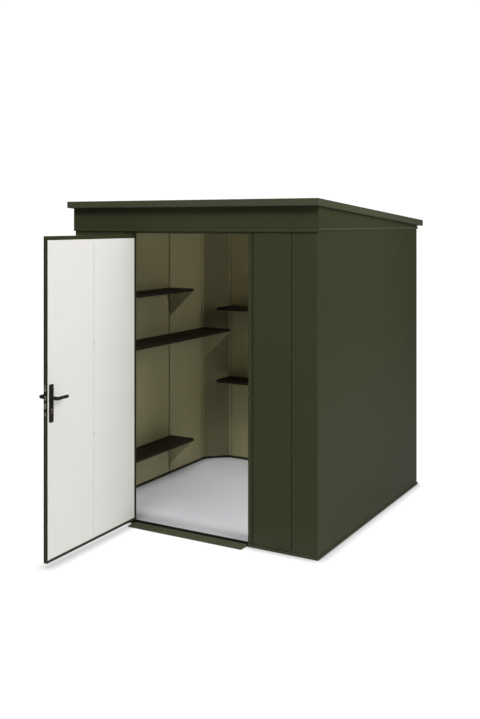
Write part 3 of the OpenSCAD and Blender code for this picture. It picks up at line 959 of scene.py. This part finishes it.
# folded tray: turned-down front with a return
def buildShelf(node, name, along):
    low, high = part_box(node)
    bm = bmesh.new()
    deep = (high.x - low.x) if along == "y" else (high.y - low.y)
    top = high.z
    drop = high.z - low.z
    path = roundBends([
        (shelf["wallGap"], top, 0), (deep, top), (deep, top - drop), (deep - shelf["return"], top - drop, 0)],
        shelf["bend"], 4)
    outline = sheetOutline(path, -shelf["sheet"])
    if along == "y":
        stations = [lambda u, v, y=y: Vector((low.x + u, y, v)) for y in (low.y, high.y)]
    else:
        stations = [lambda u, v, x=x: Vector((x, high.y - u, v)) for x in (low.x, high.x)]
    addLoft(bm, outline, stations, strip=True)
    finishPiece(name, bm, "shelfGraphite", "shed", "shelf_coat", node)


for node in leftTrays + backTrays:
    buildShelf(node, "tray" + node[6:].title().replace("_", ""), "y" if node in leftTrays else "x")

bracket = {"sheet": 0.0025, "corner": 0.008, "nose": 0.019, "short": 0.003, "toe": 0.006, "under": 0.0026,
           "flange": 0.016, "flangeTop": -0.004, "flangeThick": 0.002, "screw": 0.0038,
           "screwAt": (0.18, 0.80)}    # shares of the way down the wall


# triangular end plate with a flange folded along the wall
def addBracket(bm, origin, outWay, sideWay, deep, screws):
    up = Vector((0, 0, 1))
    low = -deep
    end = deep - bracket["short"]
    plan = roundBends([(0, 0), (end, 0, 0.002), (end, -bracket["nose"], bracket["corner"]),
                       (bracket["toe"], low, 0.003), (0, low, 0.002)], 0.0, 4, closed=True)
    t = bracket["sheet"]
    addLoft(bm, plan, [lambda u, v, s=s: origin + outWay * u + up * v + sideWay * s for s in (0, t)])
    wide, top, thick = bracket["flange"], bracket["flangeTop"], bracket["flangeThick"]
    flange = [Vector(p) for p in ((0, top), (wide, top), (wide, low + 0.010), (0, low + 0.004))]
    side = origin + sideWay * t
    addLoft(bm, flange, [lambda u, v, s=s: side + sideWay * u + up * v + outWay * s for s in (0.0002, thick)])
    for part in bracket["screwAt"]:
        screws.append((side + sideWay * (wide * 0.55) + up * (low * part) + outWay * thick, outWay))


def buildBrackets():
    screws = []
    bm = bmesh.new()
    under = bracket["under"]
    for node in leftTrays:
        low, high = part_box(node)
        for y, way in ((low.y, 1), (high.y, -1)):
            addBracket(bm, Vector((low.x, y, high.z - under)), Vector((1, 0, 0)), Vector((0, way, 0)),
                       high.x - low.x, screws)
    finishPiece("bracketsLeft", bm, "roomCream", "shed", "cream_coat", "shelf_brackets_left")
    bm = bmesh.new()
    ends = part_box("shelf_brackets_back")
    for node in backTrays:
        low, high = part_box(node)
        for x, way in ((ends[0].x, 1), (ends[1].x, -1)):
            addBracket(bm, Vector((x, high.y, high.z - under)), Vector((0, -1, 0)), Vector((way, 0, 0)),
                       high.y - low.y, screws)
    finishPiece("bracketsBack", bm, "roomCream", "shed", "cream_coat", "shelf_brackets_back")
    bm = bmesh.new()
    for point, way in screws:
        addScrew(bm, point, way, bracket["screw"], random.uniform(0, 1))
    finishPiece("bracketScrews", bm, "zincPlate", "shed", "bare_steel")


buildBrackets()

# rivets that hold the wall linings beside their joints
lining = {"rivet": 0.0040, "inset": 0.0135, "sideJoint": (0.990, 1.284, 1.551, 1.724),
          "backJoint": (0.045, 0.313, 0.930, 1.208), "sheetJoint": (0.034, 1.920)}


def buildLiningRivets():
    bm = bmesh.new()
    face = halfW - wallThick
    low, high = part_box("left_wall_inner")
    pitch = wall["panelPitch"]

    def rivet(x, y, z, way):
        r = lining["rivet"]
        addTurned(bm, facing((x, y, z), way), [
            (r, -0.0004), (r * 0.95, 0.0006), (r * 0.7, 0.0014), (r * 0.3, 0.0018)], 14)
    for s in (-1, 1):
        for z in lining["sideJoint"]:
            for y in (high.y + lining["inset"], low.y - lining["inset"]):
                rivet(s * face, y, z, (-s, 0, 0))
        for z in lining["sheetJoint"]:
            for y in (high.y - pitch, high.y - 2 * pitch):
                rivet(s * face, y + lining["inset"] * 0.75, z, (-s, 0, 0))
        for z in lining["backJoint"]:
            rivet(s * (postJoint - wall["lap"] + lining["inset"]), backY - wallThick, z, (0, -1, 0))
    finishPiece("liningRivets", bm, "roomCream", "shed", "cream_coat")


buildLiningRivets()
print("shelves ready")

# ---- door leaf ----
leaf = {"bend": 0.0025, "rim": 0.0012, "sideBorder": 0.0035, "topBorder": 0.024, "footBorder": 0.018,
        "recess": 0.002, "sheetRim": 0.0014, "sheetFit": 0.0003, "joint": 0.0018, "fastener": 0.0036,
        "fastenerZ": (0.706, 1.288),
        "grooveIn": 0.0066, "groove": 0.0018, "grooveDeep": 0.0025, "grooveRound": 0.0003}
skinShut = shutBox("door_outer_skin")
stileShut = shutBox("door_stiles")
leafX0 = skinShut[0].x
leafX1 = skinShut[1].x
leafY0 = skinShut[0].y
leafY1 = stileShut[1].y
leafZ0 = skinShut[0].z
leafZ1 = skinShut[1].z


def buildLeafPan():
    bm = bmesh.new()
    bend = leaf["bend"]

    def ring(insetX, foot, y, top=None):
        top = foot if top is None else top
        return [(leafX0 + insetX, y, leafZ0 + foot), (leafX1 - insetX, y, leafZ0 + foot),
                (leafX1 - insetX, y, leafZ1 - top), (leafX0 + insetX, y, leafZ1 - top)]
    rings = [ring(bend * (1 - math.sin(a)), bend * (1 - math.sin(a)), leafY0 + bend * (1 - math.cos(a)))
             for a in (0, 0.4, 0.8, 1.2, 1.5708)]
    deep = leaf["grooveDeep"]
    half = leaf["groove"] / 2
    wide = half + leaf["grooveRound"]
    for seam in (leafY0 + leaf["grooveIn"], leafY1 - leaf["grooveIn"]):
        rings += [ring(0, 0, seam - wide), ring(deep, deep, seam - half), ring(deep, deep, seam + half),
                  ring(0, 0, seam + wide)]
    rim = leaf["rim"]
    rings += [ring(rim * (1 - math.sin(a)), rim * (1 - math.sin(a)), leafY1 - rim * (1 - math.cos(a)))
              for a in (1.5708, 1.0, 0.5, 0)]
    rings += [ring(leaf["sideBorder"], leaf["footBorder"], y, leaf["topBorder"])
              for y in (leafY1, leafY1 - leaf["recess"])]
    addRings(bm, leafPlace, rings)
    back = leafPlace.inverted()
    for face in bm.faces:
        y = (back @ face.calc_center_median()).y
        if leafY0 + bend / 2 < y < leafY0 + leaf["grooveIn"]:
            face.material_index = 1    # black band round the outer edge of the leaf: painted shade standing in for the shadow along the edge
    finishPiece("leafPan", bm, "frameOlive", "door", "olive_coat", "door_outer_skin", "door_stiles",
                "door_rails", second="blackRubberAndShade")


# inner sheet of the leaf, with its rim turned in
def buildLeafSheet(x0, x1, name, node):
    bm = bmesh.new()
    wide = x1 - x0
    foot = leafZ0 + leaf["footBorder"]
    top = leafZ1 - leaf["topBorder"]
    tall = top - foot - 2 * leaf["sheetFit"]
    place = leafPlace @ Matrix.Translation(((x0 + x1) / 2, leafY1 - leaf["recess"], (foot + top) / 2))
    place = place @ Matrix.Rotation(-math.pi / 2, 4, "X")
    addPlate(bm, place, wide, tall, leaf["recess"] + 0.0004, 0.0008, leaf["sheetRim"], 2)
    finishPiece(name, bm, "doorCream", "door", "cream_coat", node)


def buildLeafFasteners():
    bm = bmesh.new()
    for z in leaf["fastenerZ"]:
        addScrew(bm, leafPlace @ Vector((leafMid, leafY1 + 0.0002, z)),
                 leafPlace.to_3x3() @ Vector((0, 1, 0)), leaf["fastener"], 0.3)
    finishPiece("leafFasteners", bm, "darkScrew", "door", "bare_steel")


buildLeafPan()
leafMid = (leafX0 + leafX1) / 2
halfJoint = leaf["joint"] / 2
border = leaf["sideBorder"] + leaf["sheetFit"]
buildLeafSheet(leafX0 + border, leafMid - halfJoint, "leafSheetHingeSide", "door_inner_sheet_hinge")
buildLeafSheet(leafMid + halfJoint, leafX1 - border, "leafSheetLockSide", "door_inner_sheet_lock")
buildLeafFasteners()

# ---- lock ----
lock = {"plateThick": 0.0058, "plateRim": 0.0018, "plateCorner": 0.006, "collar": 0.0135,
        "collarOut": 0.0022, "plateScrew": 0.0034, "plateScrewIn": 0.014, "cylinderOut": 0.0026,
        "faceThick": 0.0009, "faceCorner": 0.0035, "faceSunk": 0.0003}
keyParts = {"round": 0.0085, "tail": 0.0050, "tailTop": -0.0080, "tailFoot": -0.0240, "rim": 0.0006,
            "plug": 0.0066, "slot": (0.0022, 0.0085)}
# latch and bolt are drawn back; the marks are the shallow openings between the screws of the faceplate
faceParts = {"latchHalf": (0.006, 0.011), "bolt": (0.0120, 0.0340), "screw": 0.0036, "screwSunk": 0.0014,
             "screwZ": (1.0930, 0.9220, 0.8930), "markWide": 0.0110,
             "marks": ((1.0785, 0.012), (1.0050, 0.026), (0.9075, 0.016))}
plateShut = shutBox("lock_backplates")
cylinderShut = shutBox("lock_cylinder")
faceShut = shutBox("lock_faceplate")
handleX = (plateShut[0].x + plateShut[1].x) / 2
handleZ = [j for j in frame["joints"] if j["name"] == "lever_turn"][0]["pos_m"][2]
keyZ = (cylinderShut[0].z + cylinderShut[1].z) / 2
plateW = plateShut[1].x - plateShut[0].x
plateH = plateShut[1].z - plateShut[0].z
plateZ = (plateShut[0].z + plateShut[1].z) / 2


# a place on the leaf whose z points out of the face, x along the leaf
def onFace(x, z, side, out=0.0):
    y = leafY1 + out if side > 0 else leafY0 - out
    turn = Matrix.Rotation(-math.pi / 2 * side, 4, "X")
    return leafPlace @ Matrix.Translation((x, y, z)) @ turn


def buildPlates():
    bm = bmesh.new()
    for side in (-1, 1):
        addPlate(bm, onFace(handleX, plateZ, side, 0.0001), plateW, plateH, lock["plateThick"],
                 lock["plateCorner"], lock["plateRim"])
        r, out = lock["collar"], lock["collarOut"]
        addTurned(bm, onFace(handleX, handleZ, side, lock["plateThick"] - 0.0005), [
            (r, 0), (r, out * 0.6), (r - 0.0008, out), (r - 0.0020, out)], 32)
    finishPiece("lockPlates", bm, "handleBlack", "door", "black_handle", "lock_backplates")
    bm = bmesh.new()
    reach = plateH / 2 - lock["plateScrewIn"]
    for z in (plateZ + reach, plateZ - reach):
        place = onFace(handleX, z, 1, lock["plateThick"] + 0.0002)
        addScrew(bm, place.translation, place.to_3x3() @ Vector((0, 0, 1)), lock["plateScrew"], 0.5)
    finishPiece("plateScrews", bm, "darkScrew", "door", "bare_steel")


# euro profile cylinder: round body above a narrower tail; each keyway is a thin black plate on the face,
# painted shade for the slot
def buildCylinder():
    bm = bmesh.new()
    for side in (-1, 1):
        rings = []
        tall = lock["plateThick"] + lock["cylinderOut"]
        rim = keyParts["rim"]
        for inset, z in ((0, 0.002), (0, tall - rim), (rim, tall)):
            ring = []
            r = keyParts["round"] - inset
            for s in range(25):
                angle = math.radians(-55 + 290 * s / 24)
                ring.append((r * math.cos(angle), r * math.sin(angle), z))
            tail = keyParts["tail"] - inset
            top = keyParts["tailTop"]
            low = keyParts["tailFoot"] + inset
            half = [(tail, top, z), (tail, low + 0.005, z), (tail * 0.7, low + 0.0015, z)]
            rings.append(ring + [(-p[0], p[1], z) for p in half] + [(0, low, z)] + half[::-1])
        addRings(bm, onFace(handleX, keyZ, side), [[(p[0], -side * p[1], p[2]) for p in r] for r in rings])
        plug = keyParts["plug"]
        addTurned(bm, onFace(handleX, keyZ, side, tall - 0.0003), [
            (plug, 0), (plug, rim), (plug - 0.0004, rim + 0.0003)], 28)
    finishPiece("keyCylinder", bm, "copperyBrass", "door", "bare_steel", "lock_cylinder")
    # keyways: thin black plates, painted shade standing in for the slots
    bm = bmesh.new()
    for side in (-1, 1):
        out = lock["plateThick"] + lock["cylinderOut"] + 0.0004
        addPlate(bm, onFace(handleX, keyZ, side, out), *keyParts["slot"], 0.0003, 0.0009, 0.0001, 3)
    finishPiece("keySlotShade", bm, "blackRubberAndShade", "door", "bare_steel")


def buildFaceplate():
    low, high = faceShut
    yMid = (low.y + high.y) / 2
    sunk = lock["faceSunk"]
    face = leafX1 + lock["faceThick"]

    def onEdge(x, z):
        return leafPlace @ Matrix.Translation((x, yMid, z)) @ edgeTurn
    bm = bmesh.new()
    addPlate(bm, onEdge(leafX1 - sunk, (low.z + high.z) / 2), high.y - low.y, high.z - low.z,
             lock["faceThick"] + sunk, lock["faceCorner"], 0.0003)
    finishPiece("lockFaceplate", bm, "faceplateDark", "door", "bare_steel", "lock_faceplate")
    # spring latch, bevelled on the closing side; its nose stands only this far out of the plate
    bm = bmesh.new()
    tip = high.x - face
    wide, tall = faceParts["latchHalf"]
    outline = [Vector(p) for p in ((-wide, 0.0), (wide, 0.0), (wide, tip), (0.001, tip), (-wide, 0.0003))]
    ends = (frameParts["latchZ"] - tall, frameParts["latchZ"] + tall)
    addLoft(bm, outline, [lambda u, v, z=z: leafPlace @ Vector((face - 0.0002 + v, yMid - u, z)) for z in ends])
    addPlate(bm, onEdge(face - 0.0002, frameParts["boltZ"]), *faceParts["bolt"], 0.0012, 0.0012, 0.0004)
    finishPiece("latchAndBolt", bm, "latchSteel", "door", "bare_steel")
    bm = bmesh.new()
    way = leafPlace.to_3x3() @ Vector((1, 0, 0))
    for z in faceParts["screwZ"]:
        point = leafPlace @ Vector((face - faceParts["screwSunk"], yMid, z))
        addScrew(bm, point, way, faceParts["screw"], 0.2)
    for z, tall in faceParts["marks"]:
        addPlate(bm, onEdge(face - 0.0001, z), faceParts["markWide"], tall, 0.0004, 0.0010, 0.0001)
    finishPiece("faceplateScrews", bm, "latchSteel", "door", "bare_steel")


buildPlates()
buildCylinder()
buildFaceplate()

# ---- levers ----
lever = {"neck": 0.0115, "grip": 0.0095, "gripTall": 0.0100, "bend": 0.0108, "tip": 0.0030}


def buildLever(side, name, node):
    low, high = shutBox(node)
    tipX = low.x
    bm = bmesh.new()
    face = leafY1 if side > 0 else leafY0
    outY = (high.y if side > 0 else low.y)
    gripY = outY - side * lever["grip"]
    start = face + side * (lock["plateThick"] + lock["collarOut"] * 0.5)
    points = [(handleX, start), (handleX, gripY, lever["bend"]), (tipX, gripY)]
    flat = roundBends(points, lever["bend"], 10)
    dense = [flat[0], flat[0].lerp(flat[1], 0.5)] + flat[1:-1]
    for share in (0.15, 0.3, 0.45, 0.6, 0.75, 0.88):
        dense.append(flat[-2].lerp(flat[-1], share))
    end = flat[-1]
    way = (flat[-1] - flat[-2]).normalized()
    shape = [(lever["neck"], lever["neck"])] * 3
    while len(shape) < len(dense):
        share = min(1.0, (len(shape) - 2) / 12)
        shape.append((lever["neck"] * (1 - share) + lever["grip"] * share,
                      lever["neck"] * (1 - share) + lever["gripTall"] * share))
    for a in (0.0, 0.45, 0.85, 1.2, 1.45):
        dense.append(end - way * (lever["tip"] * (1 - math.sin(a))))
        drop = lever["tip"] * (1 - math.cos(a))
        shape.append((lever["grip"] - drop, lever["gripTall"] - drop))
    path = [leafPlace @ Vector((p.x, p.y, handleZ)) for p in dense]
    addBar(bm, path, shape, 28)
    finishPiece(name, bm, "handleBlack", "lever", "black_handle", node)


buildLever(1, "leverInside", "lever_inside")
buildLever(-1, "leverOutside", "lever_outside")
print("lock and levers ready")

# ---- strike ----
strike = {"thick": 0.0014, "corner": 0.003, "rim": 0.0004, "sunk": 0.0002, "screw": 0.0034,
          "screwIn": 0.010, "holeDeep": 0.02}


def buildStrike():
    low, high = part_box("strike_plate")
    bm = bmesh.new()
    x = low.x - strike["sunk"]
    yMid = (low.y + high.y) / 2
    place = Matrix.Translation((x, yMid, (low.z + high.z) / 2)) @ edgeTurn
    addPlate(bm, place, high.y - low.y, high.z - low.z, strike["thick"], strike["corner"], strike["rim"])
    piece = finishPiece("strikePlate", bm, "zincPlate", "shed", "bare_steel", "strike_plate")
    yHole = pin.y + (faceShut[0].y + faceShut[1].y) / 2
    holes = [(*frameParts[part + "Hole"], frameParts[part + "Z"]) for part in ("latch", "bolt")]
    for cut in (piece, rightJamb):
        cutHoles(cut, holes, strike["holeDeep"], low.x, yHole)
    bm = bmesh.new()
    for z in (high.z - strike["screwIn"], low.z + strike["screwIn"]):
        addScrew(bm, (x, yMid, z), (-1, 0, 0), strike["screw"], 0.7)
    finishPiece("strikeScrews", bm, "zincPlate", "shed", "bare_steel")


buildStrike()

# ---- hinges ----
hinge = {"plate": 0.0024, "corner": 0.004, "rim": 0.0005, "screw": 0.0036, "screwIn": 0.011, "screwOut": 0.010,
         "chamfer": 0.0008, "knuckle": 0.008, "feet": (0.260, 0.990, 1.720),
         "fixed": (0, 0.0445), "swung": (0.0455, 0.0895), "cap": 0.0064, "capTip": 0.0050}


def addKnuckle(bm, place, radius, z0, z1):
    c = hinge["chamfer"]
    addTurned(bm, place, [(radius - c, z0), (radius, z0 + c), (radius, z1 - c), (radius - c, z1)], 28)


def buildHinges():
    shed = bmesh.new()
    door = bmesh.new()
    screws = {"shed": bmesh.new(), "door": bmesh.new()}
    flange = shutBox("hinge_door_halves")[1].x
    radius, cap, tip = hinge["knuckle"], hinge["cap"], hinge["capTip"]
    still = Matrix.Translation(pin)
    for z in hinge["feet"]:
        bottom, top = z, z + hinge["swung"][1]
        addKnuckle(shed, still, radius, z, z + hinge["fixed"][1])
        addTurned(shed, still, [(tip, bottom - 0.0030), (cap, bottom - 0.0018), (cap, bottom + 0.001)], 24)
        addTurned(shed, still, [(cap, top), (cap, top + 0.0030), (tip, top + 0.0045)], 24)
        addKnuckle(door, leafPlace, radius, z + hinge["swung"][0], top)
        for s, bm, place, key, face in ((-1, shed, Matrix.Identity(4), "shed", frontY),
                                        (1, door, leafPlace, "door", leafY0)):
            base1 = pin.x if s < 0 else 0.0
            mid = base1 + s * flange / 2
            z0, z1 = [z + rise for rise in hinge["fixed" if s < 0 else "swung"]]
            turn = Matrix.Rotation(math.pi / 2, 4, "X")
            spot = place @ Matrix.Translation((mid, face - 0.0001, (z0 + z1) / 2)) @ turn
            addPlate(bm, spot, flange, z1 - z0, hinge["plate"], hinge["corner"], hinge["rim"], 4)
            for screwZ in (z0 + hinge["screwIn"], z1 - hinge["screwIn"]):
                x = base1 + s * (flange - hinge["screwOut"])
                point = place @ Vector((x, face - hinge["plate"], screwZ))
                addScrew(screws[key], point, place.to_3x3() @ Vector((0, -1, 0)), hinge["screw"], 0.4)
    finishPiece("hingeFixedHalves", shed, "frameOlive", "shed", "olive_coat", "hinge_jamb_halves")
    finishPiece("hingeSwingHalves", door, "frameOlive", "door", "olive_coat", "hinge_door_halves")
    finishPiece("hingeFixedScrews", screws["shed"], "frameOlive", "shed", "olive_coat")
    finishPiece("hingeSwingScrews", screws["door"], "frameOlive", "door", "olive_coat")


buildHinges()
print("hinges ready")

# ---- studio ----
studio = {"floorHalf": 60, "glow": 1.02, "worldLight": 0.13,
          "floorShade": 0.62, "shadowReach": 0.075, "backdrop": 1.05}
softboxes = {
    "frontSoftbox": {"place": (0.0, -6.2, 8.0), "aim": (0.0, -0.9, 1.0), "size": (5.0, 2.6),
                     "power": 560.0},
    "sideSoftbox": {"place": (5.4, -1.9, 4.4), "aim": (0.9, -0.4, 1.0), "size": (4.6, 4.6), "power": 335.0},
    "rearSoftbox": {"place": (-4.5, 6.5, 4.5), "aim": (0.0, 0.0, 1.0), "size": (4.0, 3.0), "power": 260.0},
    "lowSoftbox": {"place": (0.0, 0.07, 0.285), "aim": (0.0, 0.07, 0.0), "size": (1.74, 1.62), "power": 4.0,
                   "spread": 44.0},
    "eavesSoftbox": {"place": (3.4, 0.1, 2.4), "aim": (0.94, 0.0, 2.0), "size": (1.0, 2.4), "power": 4.0,
                     "spread": 60.0},
    "roomSoftbox": {"place": (0.86, 0.66, 1.45), "aim": (-0.9, 0.25, 1.35), "size": (0.25, 1.0),
                    "power": 2.0, "spread": 120.0},
}


# pale floor: a matt sheet for the light, seen as an even white with a soft shadow close to the shed
def buildStage():
    bm = bmesh.new()
    half = studio["floorHalf"]
    for x, y in ((-half, -half), (half, -half), (half, half), (-half, half)):
        bm.verts.new((x, y, -0.0005))
    bm.faces.new(bm.verts)
    mesh = bpy.data.meshes.new("studioFloor")
    bm.to_mesh(mesh)
    bm.free()
    ground = bpy.data.objects.new("studioFloor", mesh)
    bpy.context.scene.collection.objects.link(ground)
    paper = bpy.data.materials.new("studioPaper")
    paper.use_nodes = True
    tree = paper.node_tree
    tree.nodes.clear()
    out = putNode(tree, "ShaderNodeOutputMaterial")
    shade = studio["floorShade"]
    matt = putNode(tree, "ShaderNodeBsdfDiffuse")
    matt.inputs["Color"].default_value = (shade, shade, shade, 1)
    near = putNode(tree, "ShaderNodeAmbientOcclusion", samples=24)
    near.inputs["Distance"].default_value = studio["shadowReach"]
    glow = putNode(tree, "ShaderNodeEmission")
    tree.links.new(near.outputs["Color"], glow.inputs["Color"])
    glow.inputs["Strength"].default_value = studio["glow"]
    path = putNode(tree, "ShaderNodeLightPath")
    mix = putNode(tree, "ShaderNodeMixShader")
    tree.links.new(path.outputs["Is Camera Ray"], mix.inputs[0])
    tree.links.new(matt.outputs[0], mix.inputs[1])
    tree.links.new(glow.outputs[0], mix.inputs[2])
    tree.links.new(mix.outputs[0], out.inputs[0])
    mesh.materials.append(paper)


def buildWorld():
    world = bpy.data.worlds.new("studioWorld")
    bpy.context.scene.world = world
    world.use_nodes = True
    tree = world.node_tree
    tree.nodes.clear()
    out = putNode(tree, "ShaderNodeOutputWorld")
    soft = putNode(tree, "ShaderNodeBackground")
    soft.inputs["Color"].default_value = (1, 1, 1, 1)
    soft.inputs["Strength"].default_value = studio["worldLight"]
    seen = putNode(tree, "ShaderNodeBackground")
    seen.inputs["Color"].default_value = (1, 1, 1, 1)
    seen.inputs["Strength"].default_value = studio["backdrop"]
    path = putNode(tree, "ShaderNodeLightPath")
    mix = putNode(tree, "ShaderNodeMixShader")
    tree.links.new(path.outputs["Is Camera Ray"], mix.inputs[0])
    tree.links.new(soft.outputs[0], mix.inputs[1])
    tree.links.new(seen.outputs[0], mix.inputs[2])
    tree.links.new(mix.outputs[0], out.inputs[0])


def addSoftbox(name, place, aim, size, power, spread=180.0):
    light = bpy.data.lights.new(name, "AREA")
    light.shape = "RECTANGLE"
    light.size, light.size_y = size
    light.energy = power
    light.spread = math.radians(spread)
    lamp = bpy.data.objects.new(name, light)
    lamp.location = place
    lamp.rotation_euler = (Vector(aim) - Vector(place)).to_track_quat("-Z", "Y").to_euler()
    lamp.visible_camera = False
    bpy.context.scene.collection.objects.link(lamp)


buildStage()
buildWorld()
for name, softbox in softboxes.items():
    addSoftbox(name, **softbox)

viewPoint = {"place": (3.2349, -5.9165, 2.0407), "turn": 29.5985, "lens": 45.31, "rise": -0.1896}
camera = bpy.data.objects.new("studioCamera", bpy.data.cameras.new("studioCamera"))
bpy.context.scene.collection.objects.link(camera)
camera.location = viewPoint["place"]
camera.rotation_euler = (math.radians(90), 0, math.radians(viewPoint["turn"]))
camera.data.sensor_width = 36.0
camera.data.lens = viewPoint["lens"]
camera.data.shift_y = viewPoint["rise"]
bpy.context.scene.camera = camera
bpy.context.scene.view_settings.view_transform = "Standard"
bpy.context.scene.view_settings.look = "None"
print("studio ready")
